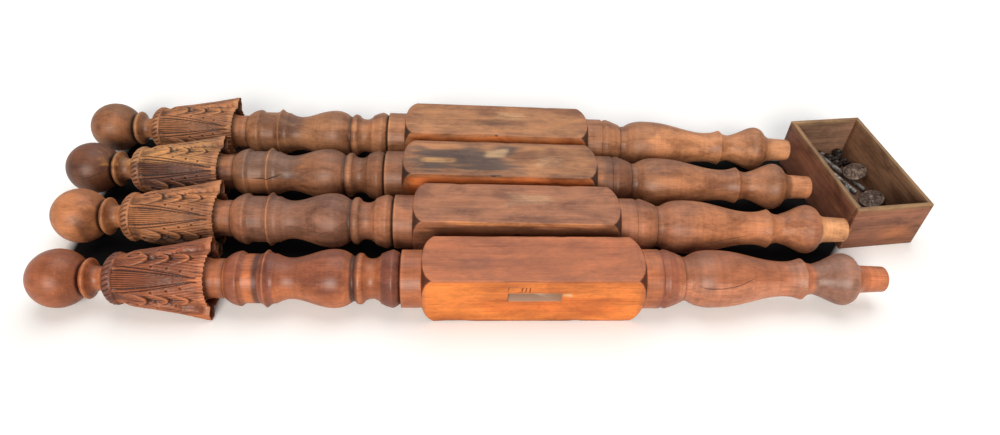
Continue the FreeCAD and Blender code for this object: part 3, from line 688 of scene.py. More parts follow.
def cut_away(item: Item, cutters: list[Item]) -> None:
    """Cut solids out of an object's mesh and take the cutters away.

    Args:
        item: The object that is cut.
        cutters: Closed solids.
    """
    for tool in cutters:
        boolean = item.modifiers.new("joinery", "BOOLEAN")
        boolean.operation = "DIFFERENCE"
        boolean.solver = "MANIFOLD"
        boolean.object = tool
    settle(item)
    for tool in cutters:
        solid = tool.data
        bpy.data.objects.remove(tool)
        bpy.data.meshes.remove(solid)


def cover_in(item: Item, material: bpy.types.Material) -> None:
    """Give an object one material alone."""
    item.data.materials.clear()
    item.data.materials.append(material)


def wrapped_mesh(name: str, rows: Array, caps: bool = True, ring: bool = False) -> bpy.types.Mesh:
    """A mesh from closed loops of points.

    Args:
        name: The mesh's name.
        rows: Loops by points by three coordinates, in millimetres; each loop closes on itself.
        caps: Whether the first and last loops are filled.
        ring: Whether the last loop joins the first.

    Returns:
        The mesh, smooth shaded, its faces outward where the loops run so.
    """
    count, around = rows.shape[:2]
    first = np.arange(count if ring else count - 1)[:, None] * around + np.arange(around)[None, :]
    turned = np.roll(first, -1, axis=1)
    total = count * around
    quads = np.stack([first, turned, (turned + around) % total, (first + around) % total], axis=-1)
    faces = quads.reshape(-1, 4).tolist()
    if caps and not ring:
        faces.append(list(range(around))[::-1])
        faces.append(list(range(total - around, total)))
    mesh = bpy.data.meshes.new(name)
    mesh.from_pydata((rows.reshape(-1, 3) * MM).tolist(), [], faces)
    mesh.shade_smooth()
    return mesh


def mesh_points(mesh: bpy.types.Mesh) -> Array:
    """A mesh's points in millimetres."""
    flat = np.empty(len(mesh.vertices) * 3)
    mesh.vertices.foreach_get("co", flat)
    return flat.reshape(-1, 3) / MM


def paint(mesh: bpy.types.Mesh, colours: Array) -> None:
    """Write one colour for each point into the mesh's tone."""
    layer = mesh.color_attributes.new(name="tone", type="FLOAT_COLOR", domain="POINT")
    full = np.concatenate([np.clip(colours, 0, 1), np.ones((len(colours), 1))], axis=1)
    layer.data.foreach_set("color", full.ravel())


class TurnedOutline:
    """The edge of a turning, walked from end to end as stations of place and radius."""

    def __init__(self, place: float, radius: float) -> None:
        """Start at a place and a radius."""
        self.stations = [(place, radius)]

    def line(self, step: float, radius: float) -> None:
        """A straight run, its ends marked closely so that they shade as small worn edges.

        Args:
            step: How far it goes along the post.
            radius: The radius that it ends at.
        """
        place, start = self.stations[-1]
        length = math.hypot(step, radius - start)
        worn = min(0.7, length / 3)
        marks = [worn, *np.arange(5.0, length - 3.0, 5.0).tolist(), length - worn, length]
        for mark in marks:
            share = mark / length
            self.stations.append((place + step * share, start + (radius - start) * share))

    def arc(self, via_step: float, via_radius: float, step: float, radius: float) -> None:
        """An arc through a middle point.

        Args:
            via_step: How far along the post the middle point lies.
            via_radius: The middle point's radius.
            step: How far along the post the arc ends.
            radius: The radius that it ends at.
        """
        place, start = self.stations[-1]
        ends = np.array([(0.0, start), (via_step, via_radius), (step, radius)])
        rows = 2 * (ends[1:] - ends[0])
        target = (ends[1:] ** 2).sum(axis=1) - (ends[0] ** 2).sum()
        centre = np.linalg.solve(rows, target)
        angles = np.unwrap(np.arctan2(ends[:, 1] - centre[1], ends[:, 0] - centre[0]))
        reach = float(np.hypot(*(ends[0] - centre)))
        count = max(6, int(abs(angles[2] - angles[0]) * reach / 1.7))
        for angle in np.linspace(angles[0], angles[2], count + 1)[1:]:
            self.stations.append((place + centre[0] + reach * math.cos(angle),
                                  centre[1] + reach * math.sin(angle)))

    def curve(self, points: list[tuple[float, float]]) -> None:
        """A smooth curve.

        Args:
            points: Where it passes, each a step from where the curve starts and a radius.
        """
        place, start = self.stations[-1]
        knots = np.array([(0.0, start), *points])
        chords = np.hypot(*np.diff(knots, axis=0).T)
        times = np.concatenate([[0.0], np.cumsum(chords)])
        size = len(knots)
        system = np.eye(size)
        right = np.zeros((size, 2))
        for row in range(1, size - 1):
            before, after = chords[row - 1], chords[row]
            system[row, row - 1:row + 2] = before, 2 * (before + after), after
            right[row] = 6 * ((knots[row + 1] - knots[row]) / after
                              - (knots[row] - knots[row - 1]) / before)
        bends = np.linalg.solve(system, right)
        count = max(8, int(times[-1] / 2.4))
        for time in np.linspace(0, times[-1], count + 1)[1:]:
            cell = min(int(np.searchsorted(times, time, side="left")) - 1, size - 2)
            cell = max(cell, 0)
            width = chords[cell]
            left, rest = (times[cell + 1] - time) / width, (time - times[cell]) / width
            bend = (left ** 3 - left) * bends[cell] + (rest ** 3 - rest) * bends[cell + 1]
            point = left * knots[cell] + rest * knots[cell + 1] + bend * width ** 2 / 6
            self.stations.append((place + float(point[0]), float(point[1])))

    def worn(self) -> Array:
        """Rub the sharp corners down.

        Returns:
            The stations.
        """
        edge = np.array(self.stations)
        soft = edge.copy()
        soft[1:-1] = edge[1:-1] * 0.5 + (edge[:-2] + edge[2:]) * 0.25
        step_before = np.hypot(*(edge[1:-1] - edge[:-2]).T)
        step_after = np.hypot(*(edge[2:] - edge[1:-1]).T)
        close = np.minimum(step_before, step_after) < 1.0
        edge[1:-1][close] = soft[1:-1][close]
        return edge


@dataclass(frozen=True)
class PostSizes:
    """The sizes of one turned post, as in the solids."""

    block_side: float = 102.0
    block_length: float = 332.5
    upper_shoulder: float = 19.5
    lower_shoulder: float = 24.5
    upper_collar: float = 34.5
    upper_collar_radius: float = 49.2
    quirk: float = 1.5
    quirk_radius: float = 41.5
    big_ring_rise: float = 12.6
    big_ring_fall: float = 20.0
    big_ring_radius: float = 49.3
    ring_root_radius: float = 41.0
    upper_cove: float = 26.7
    upper_cove_radius: float = 34.0
    bead: float = 15.3
    bead_radius: float = 43.5
    bead_root_radius: float = 38.2
    groove: float = 4.0
    baluster_shoulder: float = 35.7
    baluster_radius: float = 49.5
    baluster_neck: float = 68.7
    baluster_neck_radius: float = 34.9
    baluster_flare: float = 21.6
    fillet: float = 4.2
    fillet_radius: float = 42.0
    sharp_ring: float = 20.6
    sharp_ring_radius: float = 48.5
    band: float = 25.7
    band_radius: float = 41.7
    ogee_nose: float = 6.1
    ogee_tail: float = 24.3
    ogee_radius: float = 46.5
    neck: float = 12.0
    neck_radius: float = 33.6
    leaf_hollow: float = 17.0
    leaf_hollow_radius: float = 40.0
    leaf_length: float = 147.0
    leaf_root_radius: float = 41.5
    rim_radius: float = 49.0
    leaf_root_reach: float = 50.0
    leaf_tip_reach: float = 18.0
    leaf_ring: float = 24.0
    leaf_ring_radius: float = 44.0
    waist: float = 17.0
    waist_radius: float = 20.8
    waist_edge_radius: float = 24.0
    ball_ring: float = 16.0
    ball_ring_radius: float = 34.3
    ball_radius: float = 49.0
    lower_collar: float = 24.6
    lower_collar_radius: float = 50.7
    leg_ring_rise: float = 10.0
    leg_ring_fall: float = 28.8
    leg_ring_radius: float = 50.9
    leg_quirk_radius: float = 47.5
    leg_fillet: float = 10.5
    leg_fillet_radius: float = 37.8
    vase_shoulder: float = 45.5
    vase_radius: float = 49.6
    vase_taper: float = 124.4
    ankle_radius: float = 30.6
    ankle_flare: float = 31.2
    ankle_ring_radius: float = 35.8
    ankle_cove: float = 23.0
    ankle_cove_radius: float = 27.0
    bulb_rise: float = 55.0
    bulb_radius: float = 45.2
    bulb_fall: float = 43.4
    peg: float = 28.5
    peg_radius: float = 24.1
    peg_end_radius: float = 22.5
    peg_round: float = 4.0
    mortise_length: float = 89.0
    mortise_width: float = 21.0
    mortise_depth: float = 36.0
    mortise_inset: float = 40.4
    bolt_hole_radius: float = 5.5
    head_recess_radius: float = 12.0
    head_recess_depth: float = 13.0
    core_radius: float = 22.0

    def corner(self) -> float:
        """How far the block's arrises reach from the post's axis."""
        return self.block_side * 0.71

    def ball_seat(self) -> float:
        """From the ball's middle to its bead."""
        return math.sqrt(self.ball_radius ** 2 - self.waist_edge_radius ** 2)

    def ball_end(self) -> float:
        """Find the post's ball end.

        Returns:
            Its place along the post, from the block's middle.
        """
        run = (self.upper_shoulder + self.upper_collar + self.quirk + self.big_ring_rise
               + self.big_ring_fall + self.upper_cove + self.bead + self.groove
               + self.baluster_shoulder + self.baluster_neck + self.baluster_flare + self.fillet
               + self.sharp_ring + self.band + self.ogee_nose + self.ogee_tail + 2 * self.neck
               + self.leaf_length + self.leaf_ring + self.waist + self.ball_ring + self.quirk)
        return -self.block_length / 2 - run - self.ball_seat() - self.ball_radius

    def leaf_start(self) -> float:
        """Where the carved leaves leave their ring."""
        return (self.ball_end() + self.ball_radius + self.ball_seat() + self.quirk + self.ball_ring
                + self.waist + self.leaf_ring)


def square_reach(angles: Array, half: float, sharpness: float) -> Array:
    """How far square stock reaches at angles round its axis.

    Args:
        angles: Angles in degrees.
        half: Half the stock's side.
        sharpness: Higher leaves less wear on the arrises.

    Returns:
        The reach at each angle.
    """
    turned = np.radians(angles)
    level, upright = np.abs(np.cos(turned)), np.abs(np.sin(turned))
    return half / (level ** sharpness + upright ** sharpness) ** (1 / sharpness)


def softly_least(first: Array, second: Array, softness: float) -> Array:
    """The lesser of two reaches, rounded over where they meet."""
    return -softness * np.logaddexp(-first / softness, -second / softness)


def ridge(away: Array, width: float) -> Array:
    """A smooth ridge of height one."""
    return np.exp(-(away / width) ** 2)


def valley(turns: Array) -> Array:
    """Narrow valleys of depth one, one at each whole number."""
    return (1 - np.abs(np.sin(math.pi * turns))) ** 2


@dataclass
class TurnedPost:
    """One post: ball, rings, baluster, block with its joinery, leg and foot."""

    number: int
    place: Place
    rail_side: Side
    finish: WoodFinish
    sizes: PostSizes = PostSizes()
    material: bpy.types.Material | None = None
    columns: int = 36
    softness: float = 0.3
    tool_waves: float = 0.35

    def outline(self) -> Array:
        """Walk the post from ball to foot, with a core where the carved head goes on.

        Returns:
            Stations of place and radius.
        """
        s = self.sizes
        edge = TurnedOutline(s.ball_end(), 0.02)
        seat = s.ball_seat()
        edge.arc(s.ball_radius, s.ball_radius, s.ball_radius + seat, s.waist_edge_radius)
        edge.line(s.quirk, s.waist_edge_radius + 1.0)
        rise, nose, drop = s.ball_ring * 0.26, s.ball_ring * 0.26, s.ball_ring * 0.12
        lip = s.ball_ring_radius
        edge.arc(rise * 0.4, mix(s.waist_edge_radius, lip, 0.72), rise, lip - 1.6)
        edge.arc(nose * 0.5, lip, nose, lip - 1.2)
        edge.line(drop, mix(s.waist_radius, lip, 0.66))
        rest = s.ball_ring - rise - nose - drop + s.waist
        edge.arc(rest - s.waist * 0.34, s.waist_radius, rest, s.waist_edge_radius)
        edge.line(1.6, s.core_radius)
        edge.line(s.leaf_ring + s.leaf_length - s.leaf_hollow - 7.6, s.core_radius)
        edge.line(6.0, s.leaf_hollow_radius)
        edge.arc(s.leaf_hollow * 0.7, s.neck_radius * 1.02, s.leaf_hollow + s.neck, s.neck_radius)
        self.walk_upper_turning(edge)
        edge.line(s.block_length, s.corner())
        self.walk_leg(edge)
        return edge.worn()

    def walk_upper_turning(self, edge: TurnedOutline) -> None:
        """Ogee, band, rings, baluster, bead, cove, collar and shoulder."""
        s = self.sizes
        edge.line(s.neck, s.neck_radius)
        edge.line(0.5, s.neck_radius + 1.8)
        edge.arc(s.ogee_tail * 0.5, mix(s.neck_radius + 1.8, s.ogee_radius, 0.72), s.ogee_tail - 0.5,
                 s.ogee_radius)
        edge.line(s.ogee_nose, s.band_radius)
        edge.line(s.band, s.band_radius)
        half = s.sharp_ring / 2
        edge.arc(half / 2, mix(s.band_radius, s.sharp_ring_radius, 0.35), half, s.sharp_ring_radius)
        edge.arc(half / 2, mix(s.fillet_radius, s.sharp_ring_radius, 0.35), half, s.fillet_radius)
        edge.line(s.fillet, s.fillet_radius)
        thin, fat = s.baluster_neck_radius, s.baluster_radius
        flare, long, short = s.baluster_flare, s.baluster_neck, s.baluster_shoulder
        edge.curve([(flare * 0.55, mix(thin, s.fillet_radius, 0.25)), (flare, thin),
                    (flare + long * 0.5, mix(thin, fat, 0.46)), (flare + long, fat),
                    (flare + long + short * 0.7, mix(s.bead_root_radius, fat, 0.62)),
                    (flare + long + short, s.bead_root_radius)])
        edge.line(s.groove, s.bead_root_radius)
        edge.arc(s.bead / 2, s.bead_radius, s.bead, s.bead_root_radius)
        edge.arc(s.upper_cove * 0.45, s.upper_cove_radius, s.upper_cove, s.ring_root_radius)
        root = mix(s.ring_root_radius, s.big_ring_radius, 0.68)
        edge.line(0.4, s.ring_root_radius + 1.4)
        edge.arc(s.big_ring_fall / 2, root, s.big_ring_fall - 0.4, s.big_ring_radius)
        edge.arc(s.big_ring_rise / 2, root, s.big_ring_rise, s.quirk_radius)
        edge.line(s.quirk, s.quirk_radius)
        edge.line(0.0, s.upper_collar_radius)
        edge.line(s.upper_collar, s.upper_collar_radius)
        edge.arc(s.upper_shoulder * 0.30, mix(s.upper_collar_radius, s.corner(), 0.55), s.upper_shoulder,
                 s.corner())

    def walk_leg(self, edge: TurnedOutline) -> None:
        """Shoulder, collar, ring, vase, ankle ring, bulb and foot peg."""
        s = self.sizes
        short = s.lower_shoulder * 0.76
        edge.arc(short * 0.66, mix(s.lower_collar_radius, s.corner(), 0.50), short, s.lower_collar_radius)
        edge.line(s.lower_collar + s.lower_shoulder - short, s.lower_collar_radius)
        edge.line(s.quirk, s.leg_quirk_radius)
        edge.line(s.leg_ring_rise - s.quirk, s.leg_ring_radius)
        edge.arc(s.leg_ring_fall * 0.5, mix(s.leg_fillet_radius, s.leg_ring_radius, 0.64),
                 s.leg_ring_fall, s.leg_fillet_radius + 2.4)
        edge.line(0.3, s.leg_fillet_radius)
        edge.line(s.leg_fillet - 0.3, s.leg_fillet_radius)
        thin, fat, short, long = s.ankle_radius, s.vase_radius, s.vase_shoulder, s.vase_taper
        edge.curve([(short * 0.30, mix(s.leg_fillet_radius, fat, 0.62)), (short, fat),
                    (short + long * 0.28, mix(thin, fat, 0.86)),
                    (short + long * 0.62, mix(thin, fat, 0.36)), (short + long, thin),
                    (short + long + s.ankle_flare * 0.55, mix(thin, s.ankle_ring_radius, 0.25)),
                    (short + long + s.ankle_flare, s.ankle_ring_radius)])
        edge.arc(s.ankle_cove * 0.4, mix(s.ankle_cove_radius, s.ankle_ring_radius, 0.25), s.ankle_cove,
                 s.ankle_cove_radius)
        low, fat = s.ankle_cove_radius, s.bulb_radius
        rise, fall = s.bulb_rise, s.bulb_fall
        edge.curve([(rise * 0.28, mix(low, fat, 0.28)), (rise * 0.68, mix(low, fat, 0.82)), (rise, fat),
                    (rise + fall * 0.22, mix(s.peg_radius, fat, 0.80))])
        edge.line(fall * 0.06, mix(s.peg_radius, fat, 0.66))
        edge.arc(fall * 0.28, mix(s.peg_radius, fat, 0.12), fall * 0.42, s.peg_radius)
        edge.line(fall * 0.30 + s.peg - s.peg_round, s.peg_end_radius)
        shy = 1 - math.sqrt(0.5)
        edge.arc(s.peg_round * (1 - shy), s.peg_end_radius - s.peg_round * shy, s.peg_round,
                 s.peg_end_radius - s.peg_round)

    def loops(self, stations: Array) -> Array:
        """Loops of points in the post's own frame.

        Args:
            stations: Places and radii along the post.

        Returns:
            Stations by angles by three coordinates.
        """
        half = self.columns // 2
        shares = np.arange(-half, half) / half
        offsets = 45 * (0.16 * shares + 0.84 * np.sign(shares) * np.abs(shares) ** 1.9)
        angles = np.concatenate([45 + 90 * quarter + offsets for quarter in range(4)])
        along, radius = stations[:, 0][:, None], stations[:, 1][:, None]
        turned = np.radians(angles)[None, :]
        shape = (len(stations), len(angles))
        flat = np.stack([np.broadcast_to(part, shape).ravel() for part in
                         (along, 40 * np.cos(turned), 40 * np.sin(turned))], axis=1)
        hand, wear = (lattice_noise(flat, cell, seed + self.number).reshape(shape)
                      for cell, seed in (((46.0, 60.0, 60.0), 40), ((24.0, 16.0, 16.0), 60)))
        oval = 1 - 0.004 * (1 - np.cos(2 * (turned - 0.6 * self.number)))
        waves = self.tool_waves * ramp(radius, 6.0, 20.0)
        round_reach = radius * oval + waves * hand - waves
        square = square_reach(angles, self.sizes.block_side / 2, 150.0)[None, :]
        square = square - (0.25 + 1.1 * ramp(wear, 0.0, 0.9)) * ramp(square, 69.2, 71.6)
        reach = softly_least(round_reach, square, self.softness)
        return np.stack([np.broadcast_to(along, shape), reach * np.cos(turned),
                         reach * np.sin(turned)], axis=-1)

    def cutters(self) -> list[Item]:
        """Make the solids of the mortises, the bolt hole and its head recess.

        Returns:
            The solids, at the post's place.
        """
        s = self.sizes
        half = s.block_side / 2
        level = half - s.mortise_inset
        side = -1 if self.rail_side is Side.FRONT else 1
        solids = [
            self.box_cutter((0, side * (half - s.mortise_depth / 2 + 1), level),
                            (s.mortise_length, s.mortise_depth + 2, s.mortise_width)),
            self.box_cutter((0, -side * level, -half + s.mortise_depth / 2 - 1),
                            (s.mortise_length, s.mortise_width, s.mortise_depth + 2)),
            self.round_cutter(-side, level, s.bolt_hole_radius, s.block_side - s.mortise_depth + 4),
            self.round_cutter(-side, level, s.head_recess_radius, s.head_recess_depth + 2),
        ]
        if self.number == 1:
            solids += self.assembly_marks(half, level)
        return solids

    def assembly_marks(self, half: float, level: float) -> list[Item]:
        """Scribe plain tally strokes and layout lines above the mortise.

        Args:
            half: Half the block's side.
            level: The height of the mortise's middle over the post's axis.

        Returns:
            A thin solid for each stroke.
        """
        tally, strokes = (1.7, 2.4, 10.0), []
        for along, up, size, lean in (
                (-21.5, 18.5, tally, 8), (-15.5, 18.5, tally, 5), (-9.0, 18.5, tally, 2),
                (-17.0, 12.2, (20.0, 1.6, 1.0), 2), (-44.5, 17.5, (1.1, 1.8, 14.0), 8),
                (-36.0, 25.0, (15.0, 1.8, 1.0), -4)):
            strokes.append(self.box_cutter((along, -half, level + up), size, lean))
        return strokes

    def box_cutter(self, middle: Triple, size: Triple, lean: float = 0.0) -> Item:
        """Make a box-shaped solid to cut with.

        Args:
            middle: Its middle in the post's own frame.
            size: Its size.
            lean: Degrees that it leans about the Y axis.

        Returns:
            The solid.
        """
        solid = bmesh.new()
        bmesh.ops.create_cube(solid, size=1.0)
        return cutter(solid, self.place.matrix() @ Matrix.Translation(Vector(middle) * MM)
                      @ Matrix.Rotation(math.radians(lean), 4, "Y")
                      @ Matrix.Diagonal((*(value * MM for value in size), 1.0)))

    def round_cutter(self, side: int, level: float, radius: float, depth: float) -> Item:
        """Make a round solid that goes into the block from 2 mm outside it.

        Args:
            side: 1 where it goes in from the back, and -1 from the front.
            level: Its height over the post's axis.
            radius: Its radius.
            depth: Its length.

        Returns:
            The solid.
        """
        middle = Vector((0, side * (self.sizes.block_side / 2 + 2 - depth / 2), level))
        return cutter(rod(radius, depth, 40), self.place.matrix() @ Matrix.Translation(middle * MM)
                      @ Matrix.Rotation(math.radians(90), 4, "X"))

    def tones(self, points: Array, hollow: Array) -> Array:
        """The wood's colour at points, with grime and painted shade in recesses and wear and painted
        highlights on crests.

        Args:
            points: Points in the post's own frame.
            hollow: How deep each lies in a recess, in millimetres; less than zero on a crest.

        Returns:
            A colour for each point.
        """
        finish = self.finish
        angle = np.degrees(np.arctan2(points[:, 2], points[:, 1])) % 360
        colour = np.repeat(np.array([finish.tone]), len(points), axis=0)
        streaked = lattice_noise(points, (70.0, 5.0, 5.0), 5 + finish.seed)
        cloudy = lattice_noise(points, (34.0, 22.0, 22.0), 9 + finish.seed)
        for streak in finish.streaks:
            off = np.abs((angle - streak.aim + 180) % 360 - 180)
            edge = np.maximum(np.abs(points[:, 0] - streak.along) / streak.reach, off / streak.spread)
            broken = (0.55 * streaked + 0.45 * cloudy) * streak.streaky
            inside = ramp(1.0 - edge + 0.45 * broken, 0.0, 0.06 + 0.35 * streak.streaky)
            share = streak.strength * inside
            colour = mix(colour, np.array([tint(*streak.colour)]), share[:, None])
        # grime and painted shade: darker the deeper a point lies in a recess
        colour = mix(colour, colour * np.array([finish.recess]) / np.array([finish.tone]),
                     ramp(hollow, 0.3, 2.6)[:, None])
        # wear and painted highlight: paler on crests
        colour = mix(colour, np.array([finish.crest]), 0.6 * ramp(-hollow, 0.6, 3.0)[:, None])
        return colour * (1 + 0.07 * cloudy[:, None])

    def hollows(self, stations: Array, along: Array) -> Array:
        """How deep the turning lies at places along the post, against its smoothed outline.

        Args:
            stations: Places and radii.
            along: Where to look it up.

        Returns:
            The depth at each place.
        """
        places, radii = stations[np.argsort(stations[:, 0], kind="stable")].T
        grid = np.arange(places[0], places[-1], 1.0)
        radius = np.minimum(np.interp(grid, places, radii), self.sizes.big_ring_radius)
        spread = np.exp(-0.5 * (np.arange(-24, 25) / 5.0) ** 2)
        smooth = np.convolve(np.pad(radius, 24, mode="edge"), spread / spread.sum(), mode="valid")
        return np.interp(along, grid, smooth - radius)

    def shade_and_grime_depth(self, stations: Array, points: Array) -> Array:
        """How deep each point lies, in the turning, the shoulders, the joinery or the tally marks; this
        depth paints grime and painted shade.

        Args:
            stations: Places and radii.
            points: Points in the post's own frame.

        Returns:
            The depth at each point.
        """
        s = self.sizes
        half = s.block_side / 2
        along, back, up = points.T
        depth = half - np.maximum(np.abs(back), np.abs(up))
        past = np.abs(along) - s.block_length / 2
        # grime and painted shade on the shoulders by the block and in the turning's hollows
        hollow = np.where(past < s.upper_shoulder, 2.6 * ramp(depth, 0.3, 1.6) * (past > -0.5),
                          self.hollows(stations, along))
        in_block = np.abs(along) < s.mortise_length / 2 + 1
        # painted shade inside the mortises and the bolt holes
        hollow = np.where(in_block & (depth > 1.5), 1.2 + depth * 0.02, hollow)
        # grime and painted shade, darkest of all, in the scribed tally strokes
        marked = (np.abs(along + 27) < 26) & (back < 2 - half) & (depth > 0.35) & (depth < 3)
        return np.where(marked & (up > half - s.mortise_inset + 11), 9.0, hollow)

    def build(self) -> Item:
        """Build, cut, paint and place the post.

        Returns:
            The post, riding on its body in place of its solid.
        """
        stations = self.outline()
        rows = self.loops(stations)
        world = self.place.to_world(rows.reshape(-1, 3)).reshape(rows.shape)
        name = f"turned_post_{self.number}"
        item = link(name, wrapped_mesh(name, world))
        cut_away(item, self.cutters())
        points = self.place.to_local(mesh_points(item.data))
        paint(item.data, self.tones(points, self.shade_and_grime_depth(stations, points)))
        item.data.shade_smooth()
        middle = (self.place.x, self.place.y, self.place.z)
        self.material = WoodShader(self.finish, self.place.turn, middle).make()
        cover_in(item, self.material)
        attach(item, f"post_{self.number}")
        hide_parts(f"bed_post_{self.number}")
        return item


@dataclass
class CarvedHead:
    """The carved head of a post: beaded ring, fluted panels, lapped leaves and two flared tips.

    Depths of relief are in millimetres. Places along the head are shares of the leaves' length,
    and places round it are degrees from a panel's middle.
    """

    post: TurnedPost
    around: int = 360
    body_shares: Shares = ((0.0, 0.0), (0.05, 0.10), (0.15, 0.60), (0.39, 1.05), (0.69, 1.10), (1.0, 1.0))
    leaf_shares: Shares = (
        (0.0, 0.0), (0.05, 0.01), (0.15, 0.19), (0.39, 0.36), (0.69, 0.61), (0.89, 0.84), (1.0, 1.0))
    flute_count: float = 4.5
    flute_depth: float = 2.8
    panel_edge: float = 0.80
    lap_ends: Triple = (0.37, 0.60, 0.82)
    lap_rise: float = 2.9
    lap_shadow: float = 2.2
    rib_depth: float = 2.4
    vein_depth: float = 1.3
    fine_vein_depth: float = 1.5
    eyes_at: Shares = ((0.43, 26.0), (0.60, 22.0), (0.75, 17.0), (0.66, 60.0), (0.46, 63.0))
    eye_depth: float = 1.9
    bead_depth: float = 1.9
    scallops: int = 17
    scallop_depth: float = 1.6
    underside: float = 0.66

    @property
    def sizes(self) -> PostSizes:
        """The post's sizes."""
        return self.post.sizes

    def panel_width(self, share: Array) -> Array:
        """Half the fluted panel's width in degrees, at shares of the leaves' length."""
        return 4.5 + 25.5 * np.clip(1 - share / 0.86, 0, 1) ** 0.9

    def flutes(self, share: Array, off: Array) -> Array:
        """The fluted panel: a fan of hollows inside a raised band.

        Args:
            share: Shares of the leaves' length.
            off: Degrees from the panel's middle.

        Returns:
            The relief in millimetres, down is less than zero.
        """
        width = self.panel_width(share)
        across = np.abs(off) / width
        live = ramp(width, 4.0, 11.0)
        wave = np.abs(np.sin(math.pi * self.flute_count * off / width / self.panel_edge))
        fan = -self.flute_depth * (1 - wave) ** 1.1 * live * ramp(self.panel_edge - across, -0.02, 0.06)
        band = 0.7 * ramp(across, self.panel_edge, 0.86) * (1 - ramp(across, 0.97, 1.03))
        groove = -2.2 * ridge((across - self.panel_edge) * width, 1.1) - 2.6 * ridge(
            (across - 1.06) * width, 1.3)
        tip = 1.2 * ramp(share, 0.78, 0.86) * (1 - ramp(np.abs(off), 6.0, 7.5))
        return fan + band + groove * ramp(share, -0.01, 0.04) * (1 - ramp(share, 0.90, 0.96)) + tip

    def tiers(self, share: Array, off: Array, side: Array) -> Array:
        """Three laps of leaf on each flat, each ending in a hooked lip.

        Args:
            share: Shares of the leaves' length.
            off: Degrees from the panel's middle.
            side: Degrees from the leaf's rib; less than zero towards the panel.

        Returns:
            The relief in millimetres.
        """
        place = share + 0.0007 * side ** 2
        width = self.panel_width(share) * 1.05
        near = 1 - ramp(np.abs(side + 1.5), 8.0, 17.0)
        relief = np.zeros_like(share)
        start = 0.0
        for end in self.lap_ends:
            inside = ramp(place, start, start + 0.01) * (1 - ramp(place, end - 0.004, end + 0.010))
            climb = np.clip((place - start) / (end - start), 0, 1)
            lip = 1.3 * ridge(place - end + 0.014, 0.012)
            relief += near * (inside * (self.lap_rise * climb ** 2.2 - 0.9) + lip)
            relief -= self.lap_shadow * near * ridge(place - end - 0.018, 0.012)
            start = end
        rib = -self.rib_depth * ridge(side, 1.5) * ramp(share, 0.10, 0.3) * (1 - ramp(share, 0.84, 0.9))
        veins = -self.vein_depth * valley(side / 5.2) * (1 - ramp(share, 0.30, 0.46))
        fine = -self.fine_vein_depth * valley((side + 26 * share) / 6.0) * ramp(share, 0.3, 0.5)
        return (relief + rib + veins + fine) * ramp(np.abs(off), width, width + 3.5)

    def eyes(self, share: Array, off: Array) -> Array:
        """Small drilled eyes between the laps of leaf, and an oval at the leaf's root.

        Args:
            share: Shares of the leaves' length.
            off: Degrees from the panel's middle.

        Returns:
            The relief in millimetres.
        """
        relief = np.zeros_like(share)
        for along, aim in self.eyes_at:
            away = np.hypot((share - along) * self.sizes.leaf_length, (np.abs(off) - aim) * 0.85)
            relief -= self.eye_depth * ridge(away, 2.0) - 0.9 * ridge(away - 3.6, 1.2)
        oval = np.hypot((share - 0.20) * self.sizes.leaf_length / 14.0, (np.abs(off) - 56.0) / 8.0)
        return relief + 1.3 * ridge(oval - 1, 0.24) - 1.8 * ridge(oval - 0.62, 0.2)

    def shape(self, share: Array, angle: Array) -> tuple[Array, Array]:
        """The head's reach at places on it.

        Args:
            share: Shares of the leaves' length.
            angle: Degrees round the post.

        Returns:
            The reach in millimetres, and the relief that is part of it.
        """
        s = self.sizes
        off = (angle - 135 + 90) % 180 - 90
        body = mix(s.leaf_root_radius, s.rim_radius, np.interp(share, *zip(*self.body_shares)))
        leaf = mix(s.leaf_root_radius, s.corner(), np.interp(share, *zip(*self.leaf_shares)))
        lobes = (3.0 * np.abs(np.sin(math.pi * 4.2 * share)) * ramp(share, 0.15, 0.4)
                 * (1 - ramp(share, 0.88, 0.98)))
        edge = mix(s.leaf_root_reach, s.leaf_tip_reach, share) + lobes - 3.0
        sideways = leaf * np.cos(np.radians(off))
        live = ramp(share, 0.3, 0.5)
        inside = ramp(edge - sideways, -1.0, 3.5)
        bead = ridge(edge - sideways - 2.6, 1.6) * live
        outside = ridge(edge - sideways + 2.2, 1.8) * live
        veins = -0.9 * valley(2.5 * sideways / edge) * live * inside
        middle = -1.6 * ridge(sideways, 2.0) * ramp(share, 0.2, 0.4)
        ruffle = 0.6 * np.cos(np.radians(off * 34)) + 0.6 * np.cos(np.radians(off * 53 + 260 * share))
        ruffle = ruffle * ramp(share, 0.80, 0.97) * (1 - inside)
        side = np.abs(off) - 45
        relief = self.flutes(share, off) * (1 - inside * live)
        relief += self.tiers(share, off, side) * (1 - 0.65 * inside * ramp(share, 0.62, 0.9))
        relief += self.eyes(share, off) + bead - outside * 1.3 + veins + middle * inside + 1.1 * ruffle
        reach = mix(body, leaf, inside) + np.minimum(relief, 1.9) - 0.9
        return softly_least(reach, square_reach(angle, s.block_side / 2 - 0.3, 40.0), 0.6), relief

    def ring_loops(self, angles: Array) -> list[Loop]:
        """The beaded ring under the leaves.

        Args:
            angles: Degrees round the post.

        Returns:
            Its loops: places along the post, reaches, and the relief.
        """
        s = self.sizes
        loops = []
        for place in np.linspace(0, 1, 26):
            here = np.array(place)
            swell = max(0.0, 1 - (1 - min(place / 0.80, 1.0)) ** 2) ** 0.8
            radius = s.waist_edge_radius - 1 + (s.leaf_ring_radius - s.waist_edge_radius + 1) * swell
            radius -= max(0.0, place - 0.82) / 0.18 * (s.leaf_ring_radius - s.leaf_root_radius - 1.2)
            beads = np.abs(np.sin(np.radians(angles * 15 + 220 * place)))
            live = ramp(here, 0.22, 0.42) * (1 - ramp(here, 0.84, 0.9))
            relief = -self.bead_depth * (1 - beads) ** 1.2 * live
            along = np.full(self.around, s.leaf_start() - s.leaf_ring * (1 - place))
            loops.append((along, radius + relief, relief))
        return loops

